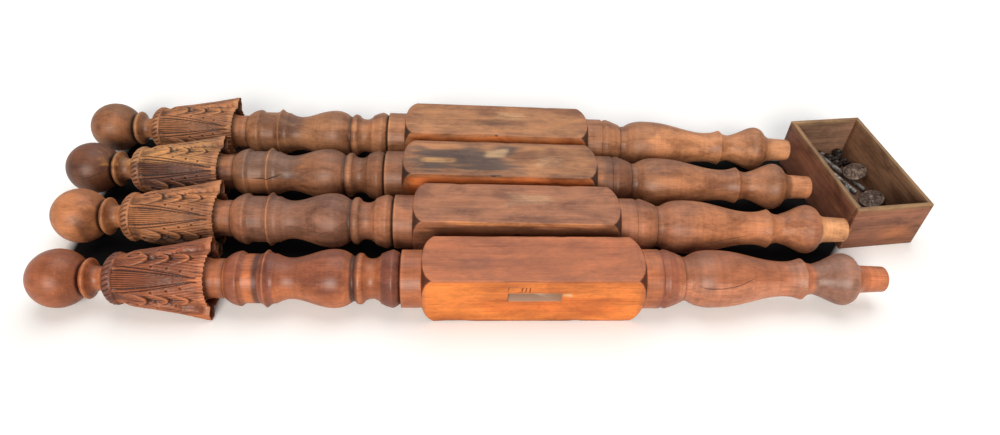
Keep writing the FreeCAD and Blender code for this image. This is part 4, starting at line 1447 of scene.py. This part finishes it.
    def leaf_loops(self, angles: Array) -> list[Loop]:
        """The leaves and panels, up to the ruffled rim.

        Args:
            angles: Degrees round the post.

        Returns:
            Their loops: places along the post, reaches, and the relief.
        """
        loops = []
        for share in np.linspace(0.004, 1.0, 168):
            here = np.array(share)
            reach, relief = self.shape(np.full(self.around, share), angles)
            scallop = self.scallop(angles) * ramp(here, 0.9, 1.0)
            along = self.sizes.leaf_start() + self.sizes.leaf_length * share - scallop
            # wear and painted highlight: the rim's depth is raised so that it is painted pale in the crest
            # colour
            loops.append((along, reach, relief + 1.8 * ramp(here, 0.90, 0.97)))
        return loops

    def scallop(self, angles: Array) -> Array:
        """How far the rim is scalloped back at angles round the post."""
        return self.scallop_depth * np.abs(np.sin(np.radians(angles * self.scallops)))

    def underside_loops(self, angles: Array) -> list[Loop]:
        """The hollow under the rim, in to the post's neck.

        Args:
            angles: Degrees round the post.

        Returns:
            Its loops: places along the post, reaches, and a depth that paints shade under the rim.
        """
        s = self.sizes
        rim, _ = self.shape(np.ones(self.around), angles)
        rim_place = s.leaf_start() + s.leaf_length - self.scallop(angles)
        via_reach = mix(s.leaf_hollow_radius - 3, rim, 0.40)
        end_reach = np.full(self.around, s.leaf_hollow_radius - 4)
        bend_reach = 2 * via_reach - 0.5 * (rim + end_reach)
        bend_step = 2 * s.leaf_hollow * self.underside - 0.5 * (s.leaf_hollow + 1)
        loops = []
        for share in np.linspace(0.06, 1.0, 12):
            bent = 2 * share * (1 - share)
            reach = (1 - share) ** 2 * rim + bent * bend_reach + share ** 2 * end_reach
            step = bent * bend_step + share ** 2 * (s.leaf_hollow + 1)
            # painted shade: a made-up depth that grows towards the neck darkens the hollow under the rim
            loops.append((rim_place - step, reach, np.full(self.around, -0.5 - 2.5 * share)))
        return loops

    def loops(self) -> tuple[Array, Array]:
        """Put the head's loops together.

        Returns:
            Loops of points in the post's own frame, and the relief at each point.
        """
        angles = np.arange(self.around) * (360 / self.around)
        turned = np.radians(angles)
        loops = [*self.ring_loops(angles), *self.leaf_loops(angles), *self.underside_loops(angles)]
        rows = [np.stack([along, reach * np.cos(turned), reach * np.sin(turned)], axis=1)
                for along, reach, _ in loops]
        return np.stack(rows), np.stack([relief for _, _, relief in loops])

    def build(self) -> Item:
        """Build, paint and place the head.

        Returns:
            The head, riding with its post.
        """
        rows, relief = self.loops()
        flat = rows.reshape(-1, 3)
        rough = lattice_noise(flat, (9.0, 3.5, 3.5), 80 + self.post.number)
        shrink = 1 + 0.28 * rough / np.maximum(np.hypot(flat[:, 1], flat[:, 2]), 5.0)
        flat = flat * np.stack([np.ones(len(flat)), shrink, shrink], axis=1)
        post = self.post
        name = f"carved_head_{post.number}"
        mesh = wrapped_mesh(name, post.place.to_world(flat).reshape(rows.shape), caps=False)
        # grime and painted shade in the carving's hollows, wear and painted highlights on its crests
        depth = np.clip(-relief.ravel() * 1.6, -3.0, 6.0)
        paint(mesh, post.tones(flat, depth))
        mesh.materials.append(post.material)
        item = link(name, mesh)
        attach(item, f"post_{post.number}")
        return item


@dataclass(frozen=True)
class BoxSizes:
    """The open box and how it stands."""

    length: float = 278.0
    width: float = 153.0
    height: float = 101.0
    board: float = 8.0
    bottom: float = 9.0
    near_x: float = 664.24
    near_y: float = -84.06
    turn: float = 6.6
    nail_inset: float = 7.0
    nail_head_radius: float = 2.4
    nail_rows: int = 3
    gap: float = 0.3
    bolts_from: float = 0.36

    def place(self) -> Place:
        """The box's near left bottom corner."""
        return Place(self.near_x, self.near_y, 0.0, self.turn)

    def inside(self, across: float, along: float) -> tuple[float, float]:
        """A point in the box, at shares of its inner width and length."""
        inner, back = self.width - 2 * self.board, self.length - 2 * self.board
        return self.board + inner * across, self.board + back * along

    def bolt_start(self) -> float:
        """Where the row of bolts starts."""
        return self.length * self.bolts_from


@dataclass
class FittingsBox:
    """The open board box: five worn boards and their nails."""

    sizes: BoxSizes
    division: float = 11.0
    edge_wear: float = 0.9
    inner_tone: Colour = tint(118, 89, 72)
    right_tone: Colour = tint(154, 114, 86)
    rub_tone: Colour = tint(172, 108, 68)
    rim_tone: Colour = tint(146, 118, 84)

    def sawn(self, low: Array, high: Array) -> bmesh.types.BMesh:
        """A board between two corners, divided evenly and with worn edges.

        Args:
            low: Its lowest corner in the box's frame, in millimetres.
            high: Its highest corner.

        Returns:
            The board in millimetres.
        """
        solid = bmesh.new()
        bmesh.ops.create_cube(solid, size=1.0)
        extent, middle = high - low, (low + high) / 2
        for axis in range(3):
            cuts = int(extent[axis] // self.division)
            if cuts:
                edges = [edge for edge in solid.edges
                         if abs((edge.verts[0].co - edge.verts[1].co)[axis]) > 0.9]
                bmesh.ops.subdivide_edges(solid, edges=edges, cuts=cuts, use_grid_fill=True)
        for vertex in solid.verts:
            vertex.co = Vector((np.array(vertex.co) * extent + middle).tolist())
        sharp = [edge for edge in solid.edges if edge.calc_face_angle(0.0) > 1.0]
        bmesh.ops.bevel(solid, geom=sharp, offset=self.edge_wear, segments=2, affect="EDGES", profile=0.5)
        return solid

    def board(self, name: str, low: Triple, high: Triple, grain_turn: float) -> Item:
        """One sawn board with its rim worn down.

        Args:
            name: The node that it stands for.
            low: Its lowest corner in the box's frame.
            high: Its highest corner.
            grain_turn: The direction of its grain against the box's width, in degrees.

        Returns:
            The board.
        """
        s = self.sizes
        solid = self.sawn(np.array(low), np.array(high))
        points = np.array([vertex.co[:] for vertex in solid.verts])
        dent = lattice_noise(points, (26.0, 26.0, 20.0), 90 + len(name))
        points[:, 2] -= 0.45 * ramp(points[:, 2], s.height - 4, s.height) * (0.5 + 0.5 * dent)
        for vertex, point in zip(solid.verts, points):
            vertex.co = Vector((point * MM).tolist())
        mesh = bpy.data.meshes.new(name)
        solid.normal_update()
        solid.to_mesh(mesh)
        solid.free()
        mesh.vertices.foreach_set("co", (s.place().to_world(points) * MM).ravel())
        mesh.update()
        mesh.shade_smooth()
        mesh.set_sharp_from_angle(angle=math.radians(40))
        paint(mesh, self.tones(points))
        mesh.materials.append(WoodShader(BOX_BOARDS, s.turn + grain_turn).make())
        item = link(name.replace("box_", "worn_"), mesh)
        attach(item, "hardware_box")
        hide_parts(name)
        return item

    def tones(self, points: Array) -> Array:
        """The boards' colour: worn pale along the rim, darker low down and inside, paler on the right
        board's inner face.

        Args:
            points: Points in the box's frame.

        Returns:
            A colour for each point.
        """
        s = self.sizes
        across, along, up = points.T
        skin = s.board - 0.5
        colour = np.repeat(np.array([BOX_BOARDS.tone]), len(points), axis=0)
        cloudy = lattice_noise(points, (40.0, 40.0, 14.0), 31)
        inside = (across > skin) & (across < s.width - skin) & (along > skin) & (along < s.length - skin)
        colour = np.where(inside[:, None], np.array([self.inner_tone]), colour)
        right = inside & (across > s.width - s.board - 0.6)
        colour = np.where(right[:, None], np.array([self.right_tone]), colour)
        # darker towards the bottom
        low = ramp(60 - up + 20 * cloudy, 0.0, 50.0)[:, None]
        colour = mix(colour, colour * np.array([[0.72, 0.68, 0.66]]), low)
        patch = np.exp(-(((across - s.width * 0.72) / 34) ** 2 + ((up - 34) / 22) ** 2))
        colour = mix(colour, np.array([self.rub_tone]), (0.7 * patch * (along < 1.0))[:, None])
        rim = ramp(up + 1.2 * cloudy, s.height - 2.6, s.height - 0.9)[:, None]
        return mix(colour, np.array([self.rim_tone]), 0.8 * rim) * (1 + 0.10 * cloudy[:, None])

    def nail_spots(self) -> list[tuple[Vector, Vector]]:
        """Find the nails.

        Returns:
            Each nail's place in millimetres and the way its head faces, in the box's frame.
        """
        s = self.sizes
        spots = []
        step = (s.height - 2 * s.nail_inset) / (s.nail_rows - 1)
        for across in (s.board / 2, s.width - s.board / 2):
            for count in range(s.nail_rows):
                height = s.nail_inset + step * count
                spots.append((Vector((across, 0, height)), Vector((0, -1, 0))))
                spots.append((Vector((across, s.length, height)), Vector((0, 1, 0))))
        span = (s.length - 2 * s.board) / s.nail_rows
        for count in range(s.nail_rows):
            along = s.board + span * (count + 0.5)
            spots.append((Vector((0, along, s.bottom / 2)), Vector((-1, 0, 0))))
            spots.append((Vector((s.width, along, s.bottom / 2)), Vector((1, 0, 0))))
        return spots

    def nails(self) -> Item:
        """The nails' heads, one on each spot.

        Returns:
            One piece with every head.
        """
        s = self.sizes
        spots = self.nail_spots()
        turn = Matrix.Rotation(math.radians(s.turn), 3, "Z")
        points = s.place().to_world(np.array([spot[:] for spot, _ in spots]))
        mesh = bpy.data.meshes.new("nail_heads")
        mesh.from_pydata((points * MM).tolist(), [], [])
        facing = mesh.attributes.new("facing", "FLOAT_VECTOR", "POINT")
        facing.data.foreach_set("vector", np.array([(turn @ way)[:] for _, way in spots]).ravel())
        item = link("nail_heads", mesh)
        tree = PieceTree("nail_heads")
        head = tree.add("GeometryNodeMeshUVSphere", {
            "Segments": 12, "Rings": 6, "Radius": tree.number("Head Radius", s.nail_head_radius * MM)})
        flat = tree.add("GeometryNodeTransform", {
            "Geometry": head.outputs["Mesh"], "Scale": (0.96, 0.96, 0.32)})
        way = tree.add("GeometryNodeInputNamedAttribute", {"Name": "facing"}, data_type="FLOAT_VECTOR")
        aim = tree.add("FunctionNodeAlignRotationToVector", {"Vector": way.outputs["Attribute"]}, axis="Z")
        heads = tree.add("GeometryNodeInstanceOnPoints", {
            "Points": tree.start, "Instance": flat.outputs["Geometry"],
            "Rotation": aim.outputs["Rotation"]})
        tree.finish(heads.outputs["Instances"], metal(NAIL_METAL))
        tree.bake(item)
        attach(item, "hardware_box")
        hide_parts("box_nails")
        return item

    def build(self) -> list[Item]:
        """Build every board and the nails.

        Returns:
            The pieces.
        """
        s = self.sizes
        inner, back = s.width - s.board, s.length - s.board
        boards = (("near", (0, 0, 0), (s.width, s.board, s.height), 0.0),
                  ("far", (0, back, 0), (s.width, s.length, s.height), 0.0),
                  ("left", (0, s.board, 0), (s.board, back, s.height), 90.0),
                  ("right", (inner, s.board, 0), (s.width, back, s.height), 90.0),
                  ("bottom", (s.board, s.board, 0), (inner, back, s.bottom), 90.0))
        pieces = [self.board(f"box_{side}_board", low, high, grain) for side, low, high, grain in boards]
        return [*pieces, self.nails()]


class PieceTree(NodeKit):
    """A geometry node tree with named inputs, baked to a plain mesh."""

    def __init__(self, name: str) -> None:
        """Start a tree that takes a mesh and gives one."""
        super().__init__(bpy.data.node_groups.new(name, "GeometryNodeTree"))
        for way in ("INPUT", "OUTPUT"):
            self.tree.interface.new_socket("Geometry", in_out=way, socket_type="NodeSocketGeometry")
        self.entry = self.add("NodeGroupInput")
        self.exit = self.add("NodeGroupOutput")
        self.values: dict[str, float] = {}

    @property
    def start(self) -> Socket:
        """The mesh that comes in."""
        return self.entry.outputs[0]

    def number(self, name: str, value: float) -> Socket:
        """A named number that the tree takes.

        Args:
            name: The input's name.
            value: What the modifier gives it.

        Returns:
            The socket inside the tree.
        """
        socket = self.tree.interface.new_socket(name, in_out="INPUT", socket_type="NodeSocketFloat")
        self.values[socket.identifier] = value
        return self.entry.outputs[name]

    def finish(self, result: Socket, material: bpy.types.Material) -> None:
        """End the tree with real geometry in a material."""
        real = self.add("GeometryNodeRealizeInstances", {"Geometry": result})
        dressed = self.add("GeometryNodeSetMaterial", {
            "Geometry": real.outputs["Geometry"], "Material": material})
        self.feed(self.exit.inputs[0], dressed.outputs["Geometry"])

    def bake(self, item: Item) -> None:
        """Run the tree on an object and keep the result as its mesh."""
        modifier = item.modifiers.new(self.tree.name, "NODES")
        modifier.node_group = self.tree
        for identifier, value in self.values.items():
            modifier[identifier] = value
        mesh = settle(item)
        mesh.shade_smooth()
        mesh.set_sharp_from_angle(angle=math.radians(45))


@dataclass(frozen=True)
class Lie:
    """Where a fitting lies in the box, in millimetres, and how it turns, tips and leans."""

    across: float
    along: float
    height: float
    heading: float = 0.0
    tip: float = 0.0
    lean: float = 0.0

    def spot(self, start: Matrix) -> Matrix:
        """The fitting's matrix, from the box's own."""
        spot = start @ Matrix.Translation(Vector((self.across, self.along, self.height)) * MM)
        for angle, axis in ((self.heading, "Z"), (self.tip, "X"), (self.lean, "Y")):
            spot = spot @ Matrix.Rotation(math.radians(angle), 4, axis)
        return spot


@dataclass
class Fittings:
    """One kind of loose fitting in the box, each on a body of its own."""

    piece: ClassVar[str]
    node: ClassVar[str]
    body: ClassVar[str]
    slot: ClassVar[str]
    finish: ClassVar[MetalFinish]

    box: BoxSizes

    def __post_init__(self) -> None:
        """Make the metal."""
        self.material = metal(self.finish)

    def lies(self) -> list[Lie]:
        """Where each one lies, as in the solids."""
        raise NotImplementedError

    def shape(self, name: str) -> Item:
        """One fitting in its own frame."""
        raise NotImplementedError

    def build(self) -> list[Item]:
        """Build, lay and name every one.

        Returns:
            The fittings.
        """
        start = self.box.place().matrix()
        pieces = []
        for number, lie in enumerate(self.lies(), start=1):
            item = self.shape(f"{self.piece}_{number}")
            item.data.transform(lie.spot(start))
            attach(item, f"{self.body}_{number}")
            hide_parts(f"{self.node}_{number}")
            pieces.append(item)
        return pieces


@dataclass
class BedBolts(Fittings):
    """The eight square-headed bed bolts."""

    piece: ClassVar[str] = "threaded_bolt"
    node: ClassVar[str] = "bed_bolt"
    body: ClassVar[str] = "bolt"
    slot: ClassVar[str] = "bolt_iron"
    finish: ClassVar[MetalFinish] = IRON

    length: float = 118.0
    radius: float = 4.75
    head_side: float = 16.0
    head_thickness: float = 9.0
    point: float = 1.2
    thread_run: float = 38.0
    thread_pitch: float = 1.9
    thread_depth: float = 0.45
    around: int = 32

    def __post_init__(self) -> None:
        """Make the metal, and the tree that puts the thread on."""
        super().__post_init__()
        self.tree = PieceTree("bolt_thread")
        both = self.tree.add("GeometryNodeJoinGeometry", {"Geometry": self.thread()})
        self.tree.feed(both.inputs["Geometry"], self.tree.start)
        self.tree.finish(both.outputs["Geometry"], self.material)

    def lies(self) -> list[Lie]:
        """Where each bolt's head lies, as in the solids.

        Returns:
            Four bolts head to point in a row, three along the ends and one across the row.
        """
        box, gap, half = self.box, self.box.gap, self.head_side / 2
        sag = math.degrees(math.asin((half - self.radius) / self.length))
        level = box.bottom + half + 2 * gap
        near = box.bolt_start()
        far = near + self.length + self.head_thickness
        row = []
        for index in range(4):
            across = box.board + half + 2 * gap + (half + self.radius + 2 * gap) * index
            along, heading = (near, 0.0) if index % 2 else (far, 180.0)
            row.append(Lie(across, along, level, heading, -sag))
        ends = [Lie(*box.inside(across, along), level, heading, -sag) for across, along, heading in
                ((0.555, 0.969, 201.0), (0.423, 0.954, 199.0), (0.572, 0.021, 0.0))]
        reach = self.length + self.head_thickness
        across, _ = box.inside(0.3036, 0.0)
        return [*row, *ends, Lie(across, near - reach * 0.5077, level, -18.0, 3.0777)]

    def blank(self) -> Array:
        """Loops along the bolt from its head to its point.

        Returns:
            Stations by angles by three coordinates, with the bolt's axis along Y.
        """
        angles = np.arange(self.around) * (360 / self.around) + 45
        turned = np.radians(angles)
        square = np.minimum(square_reach(angles, self.head_side / 2, 16.0), 10.6)
        thick, shank = self.head_thickness, self.radius - 0.15
        core, end = shank - self.thread_depth, self.head_thickness + self.length
        head = ((0.0, 0.02), (0.0, 0.60), (0.2, 0.80), (0.9, 0.93), (2.0, 1.0), (thick - 0.8, 1.0),
                (thick, 0.96))
        stations = [(place, square * share) for place, share in head]
        stations += [(thick, shank + 0.5), (thick + 0.8, shank)]
        stations += [(place, shank) for place in np.linspace(thick + 6, end - self.thread_run - 1, 14)]
        stations += [(end - self.thread_run, core), (end - self.point, core), (end, core - self.point),
                     (end, 0.02)]
        return np.stack([np.stack([-reach * np.cos(turned), np.full(self.around, place),
                                   reach * np.sin(turned)], axis=1) for place, reach in stations])

    def thread(self) -> Socket:
        """A helical thread at the bolt's end.

        Returns:
            The thread's mesh.
        """
        tree = self.tree
        run = tree.number("Thread Run", (self.thread_run - self.point - 0.6) * MM)
        pitch = tree.number("Thread Pitch", self.thread_pitch * MM)
        radius = tree.number("Thread Radius", (self.radius - 0.55) * MM)
        helix = tree.add("GeometryNodeCurveSpiral", {
            "Resolution": 18, "Rotations": tree.maths("DIVIDE", run, pitch), "Start Radius": radius,
            "End Radius": radius, "Height": run})
        wire = tree.add("GeometryNodeCurvePrimitiveCircle", {
            "Resolution": 5, "Radius": tree.maths("MULTIPLY", pitch, 0.27)})
        rib = tree.add("GeometryNodeCurveToMesh", {
            "Curve": helix.outputs["Curve"], "Profile Curve": wire.outputs["Curve"], "Fill Caps": True})
        end = self.head_thickness + self.length
        return tree.add("GeometryNodeTransform", {
            "Geometry": rib.outputs["Mesh"], "Translation": (0.0, (end - self.point - 0.4) * MM, 0.0),
            "Rotation": (math.radians(90), 0.0, 0.0)}).outputs["Geometry"]

    def shape(self, name: str) -> Item:
        """One bolt in its own frame."""
        item = link(name, wrapped_mesh(name, self.blank()))
        self.tree.bake(item)
        return item


@dataclass
class SquareNuts(Fittings):
    """The eight square nuts, hand-cut and dished."""

    piece: ClassVar[str] = "cut_nut"
    node: ClassVar[str] = "square_nut"
    body: ClassVar[str] = "nut"
    slot: ClassVar[str] = "nut_iron"
    finish: ClassVar[MetalFinish] = DARK_IRON

    side: float = 16.0
    thickness: float = 9.0
    bore: float = 5.0
    thread_depth: float = 0.35
    around: int = 48

    def lies(self) -> list[Lie]:
        """Where each nut lies, as in the solids.

        Returns:
            Seven nuts on the bottom, and nut 5 on nut 2.
        """
        box = self.box
        spots = ((0.730, 0.931, 10.0, 0), (0.872, 0.945, -12.0, 0), (0.770, 0.851, 20.0, 0),
                 (0.920, 0.866, 15.0, 0), (0.872, 0.945, 24.0, 1), (0.095, 0.930, 8.0, 0),
                 (0.250, 0.925, 24.0, 0), (0.095, 0.055, 20.0, 0))
        return [Lie(*box.inside(across, along),
                    box.bottom + box.gap + layer * (self.thickness + box.gap), heading)
                for across, along, heading, layer in spots]

    def rows(self) -> Array:
        """Loops round the nut's section.

        Returns:
            Stations by angles by three coordinates.
        """
        angles = np.arange(self.around) * (360 / self.around)
        turned = np.radians(angles)
        outer = square_reach(angles, self.side / 2, 18.0)
        bore, top = np.full(self.around, self.bore), self.thickness
        section = [(bore, 0.8)]
        for mark in np.arange(1.5, top - 1.2, 0.75):
            section.append((bore - (self.thread_depth if len(section) % 2 else 0.0), mark))
        section += [(bore, top - 0.8), (bore + 0.8, top), (np.minimum(outer - 0.6, self.side * 0.58), top),
                    (outer, top - 1.3), (outer, 0.6), (outer - 0.6, 0.0), (bore + 0.8, 0.0)]
        return np.stack([np.stack([reach * np.cos(turned), reach * np.sin(turned),
                                   np.full(self.around, height)], axis=1) for reach, height in section])

    def shape(self, name: str) -> Item:
        """One nut in its own frame."""
        mesh = wrapped_mesh(name, self.rows(), caps=False, ring=True)
        mesh.flip_normals()
        mesh.set_sharp_from_angle(angle=math.radians(38))
        mesh.materials.append(self.material)
        return link(name, mesh)


@dataclass
class BoltCovers(Fittings):
    """The four round bolt covers: domed, petalled, with a boss and a screw hole."""

    piece: ClassVar[str] = "domed_cover"
    node: ClassVar[str] = "bolt_cover"
    body: ClassVar[str] = "cover"
    slot: ClassVar[str] = "cover_brass"
    finish: ClassVar[MetalFinish] = COVER_METAL

    radius: float = 23.5
    rim: float = 3.2
    rise: float = 4.6
    boss_radius: float = 7.0
    boss_rise: float = 1.6
    hole_radius: float = 1.9
    hole_inset: float = 4.4
    lean: float = 25.0
    petals: int = 6
    around: int = 96

    def lies(self) -> list[Lie]:
        """Where each cover lies, as in the solids.

        Returns:
            Two covers that lean on bolts, and two flat on the bottom.
        """
        box, gap = self.box, self.box.gap
        run = self.radius * math.cos(math.radians(self.lean))
        drop = self.radius * math.sin(math.radians(self.lean))
        shank_top = box.bottom + 2 * gap + BedBolts.head_side / 2 + BedBolts.radius
        level = box.bottom + gap
        wall, tail = box.inside(1.0, 0.124)
        across, reach = wall - run - gap, self.radius + 2 * gap
        return [Lie(across, 184.05, shank_top + gap + drop * 0.62, lean=-self.lean),
                Lie(across, 108.13, level + drop, lean=-self.lean),
                Lie(box.board + reach, box.bolt_start() - reach - gap, level, 40.0),
                Lie(wall - reach, tail, level, -60.0)]

    def rows(self) -> Array:
        """Loops from the boss's middle over the dome and rim to the flat back.

        Returns:
            Stations by angles by three coordinates.
        """
        turned = np.radians(np.arange(self.around) * (360 / self.around))
        radius, rim, boss = self.radius, self.rim, self.boss_radius
        ball = (radius ** 2 + self.rise ** 2) / (2 * self.rise)
        top = rim + self.rise
        section = [(0.02, top + self.boss_rise - 0.2), (3.0, top + self.boss_rise - 0.15),
                   (boss - 1.6, top + self.boss_rise - 0.5), (boss - 0.4, top + 0.4)]
        for reach in np.linspace(boss + 0.4, radius - 1.6, 16):
            section.append((reach, top - ball + math.sqrt(ball ** 2 - reach ** 2)))
        section += [(radius - 0.5, rim + 0.1), (radius, rim - 0.7), (radius, 0.5), (radius - 0.5, 0.0),
                    (0.02, 0.0)]
        rows = []
        for reach, height in section:
            away = np.array(reach)
            live = float(ramp(away, boss, boss + 2.0)) * (
                1 - float(ramp(away, radius - 4.0, radius - 2.0))) * (height > rim)
            petals = -0.9 * (1 - np.abs(np.sin(turned * self.petals))) ** 1.4 * live
            lip = -0.5 * math.exp(-((reach - radius + 3.2) / 0.7) ** 2) * (height > rim - 1)
            rows.append(np.stack([reach * np.cos(turned), reach * np.sin(turned), height + petals + lip],
                                 axis=1))
        return np.stack(rows)[::-1]

    def shape(self, name: str) -> Item:
        """One cover in its own frame."""
        item = link(name, wrapped_mesh(name, self.rows()))
        middle = Vector((self.radius - self.hole_inset, 0, 0)) * MM
        cut_away(item, [cutter(rod(self.hole_radius, 20, 20), Matrix.Translation(middle))])
        item.data.shade_smooth()
        item.data.set_sharp_from_angle(angle=math.radians(45))
        cover_in(item, self.material)
        return item


@dataclass
class Studio:
    """The pale floor, painted black between the posts as painted shade, the soft lights and the
    photograph's camera.

    Each edge of the painted shade on the ground between the posts is a line: it is inside where x times
    the first number and y times the second, with the third added, come to more than nothing.
    """

    camera_place: Triple = (-0.06203, -1.00848, 0.95343)
    pitch: float = 43.361
    yaw: float = 4.397
    roll: float = 3.362
    lens: float = 25.56
    floor_reach: float = 9.0
    glow: float = 0.20
    painted_shade_edges: tuple[Triple, ...] = (
        (0.0, 1.0, 0.1605), (-0.0368, -1.0, 0.2163), (1.0, 0.0, 0.765), (-1.0, -0.1157, 0.6843),
        (-1.0, 0.84, 0.734))
    painted_shade_blur: float = 0.02

    def camera(self) -> None:
        """Put the camera at the photograph's place and angle."""
        pitch, yaw, roll = (math.radians(value) for value in (self.pitch, self.yaw, self.roll))
        forward = Vector((math.sin(yaw) * math.cos(pitch), math.cos(yaw) * math.cos(pitch),
                          -math.sin(pitch)))
        level = Vector((math.cos(yaw), -math.sin(yaw), 0.0))
        up = level.cross(forward)
        right = math.cos(roll) * level + math.sin(roll) * up
        top = -math.sin(roll) * level + math.cos(roll) * up
        data = bpy.data.cameras.new("photograph_camera")
        data.sensor_width = 36.0
        data.sensor_fit = "HORIZONTAL"
        data.lens = self.lens
        data.clip_end = 60.0
        item = link("photograph_camera", data)
        turn = Matrix((right, top, -forward)).transposed().to_4x4()
        item.matrix_world = Matrix.Translation(self.camera_place) @ turn
        bpy.context.scene.camera = item

    def lamp(self, name: str, kind: str, way: tuple[Triple, Triple], power: float, colour: Colour,
             **settings: object) -> None:
        """A soft light.

        Args:
            name: The light's name.
            kind: Its type: AREA lights from a place, and SUN evenly from one side.
            way: A point that it shines from and one that it shines towards.
            power: Its strength.
            colour: Its colour.
            settings: Its own properties.
        """
        data = bpy.data.lights.new(name, kind)
        data.energy, data.color = power, colour
        for key, value in settings.items():
            setattr(data, key, value)
        item = link(name, data)
        item.location, aim = way
        item.rotation_euler = (Vector(aim) - item.location).to_track_quat("-Z", "Y").to_euler()

    def painted_shade_between_posts(self, tree: ShaderTree) -> Socket:
        """Where the ground between the posts is painted black, as painted shade.

        Args:
            tree: The floor's material.

        Returns:
            One between the posts and zero round the set.
        """
        along, back, _ = tree.parts(tree.add("ShaderNodeTexCoord").outputs["Object"])
        share: object = 1.0
        for edge in self.painted_shade_edges:
            tilt, lean, start = (part / self.painted_shade_blur for part in edge)
            inside = tree.maths("MULTIPLY_ADD", along, tilt, start + 0.5)
            inside = tree.maths("MULTIPLY_ADD", back, lean, inside, clamp=True)
            share = tree.maths("MULTIPLY", share, inside)
        return share

    def floor(self) -> None:
        """Lay a plain pale floor that stays white to the camera, keeps the set's shadow and is painted
        black between the posts as painted shade.
        """
        reach = self.floor_reach
        corners = [(-reach, -reach, 0.0), (reach, -reach, 0.0), (reach, reach, 0.0), (-reach, reach, 0.0)]
        mesh = bpy.data.meshes.new("studio_floor")
        mesh.from_pydata(corners, [], [(0, 1, 2, 3)])
        item = link("studio_floor", mesh)
        tree = ShaderTree("pale_floor")
        # painted shade: near black between the posts, in the colour that the camera sees
        tone = tree.blend("MIX", self.painted_shade_between_posts(tree), WHITE, (0.012, 0.012, 0.013))
        tree.fill(tree.shader, {"Base Color": tone, "Roughness": 0.85, "Specular IOR Level": 0.0,
                                "Emission Color": tone, "Emission Strength": 0.05})
        dull = tree.add("ShaderNodeBsdfDiffuse", {"Color": (0.42, 0.42, 0.42)})
        choice = tree.add("ShaderNodeMixShader", {
            "Fac": tree.seen(), 1: dull.outputs["BSDF"], 2: tree.shader.outputs["BSDF"]})
        tree.fill(tree.output, {"Surface": choice.outputs["Shader"]})
        mesh.materials.append(tree.material)

    def world(self) -> None:
        """Hang a white surround that lights the set softly."""
        world = bpy.data.worlds.new("studio_surround")
        bpy.context.scene.world = world
        world.use_nodes = True
        tree = NodeKit(world.node_tree)
        glow = tree.add("ShaderNodeBackground", {"Color": WHITE, "Strength": self.glow})
        white = tree.add("ShaderNodeBackground", {"Strength": 1.0})
        choice = tree.add("ShaderNodeMixShader", {
            "Fac": tree.seen(), 1: glow.outputs[0], 2: white.outputs[0]})
        tree.add("ShaderNodeOutputWorld", {"Surface": choice.outputs[0]})

    def build(self) -> None:
        """Set up everything round the set."""
        bpy.context.scene.view_settings.view_transform = "Standard"
        self.camera()
        self.floor()
        self.world()
        self.lamp("front_daylight", "SUN", ((-0.9, -6.0, 3.1), (0.0, 0.0, 0.0)), 3.15, (1.0, 0.95, 0.87),
                  angle=math.radians(30.0))
        self.lamp("top_softbox", "AREA", ((0.3, 1.3, 3.9), (0.0, 0.0, 0.05)), 104.0, (1.0, 0.99, 0.98),
                  shape="SQUARE", size=3.8)


def main() -> None:
    """Build the set, dress it, and report each piece."""
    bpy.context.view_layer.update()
    Studio().build()
    pieces = []
    for number, traits in enumerate(zip(POST_PLACES, RAIL_SIDES, POST_FINISHES), start=1):
        post = TurnedPost(number, *traits)
        pieces += [post.build(), CarvedHead(post).build()]
    box = BoxSizes()
    for group in (FittingsBox(box), BedBolts(box), SquareNuts(box), BoltCovers(box)):
        pieces += group.build()
    for piece in pieces:
        LOG.info("%s: %d faces", piece.name, len(piece.data.polygons))


if __name__ == "__main__":
    logging.basicConfig(level=logging.INFO, format="%(message)s")
    main()
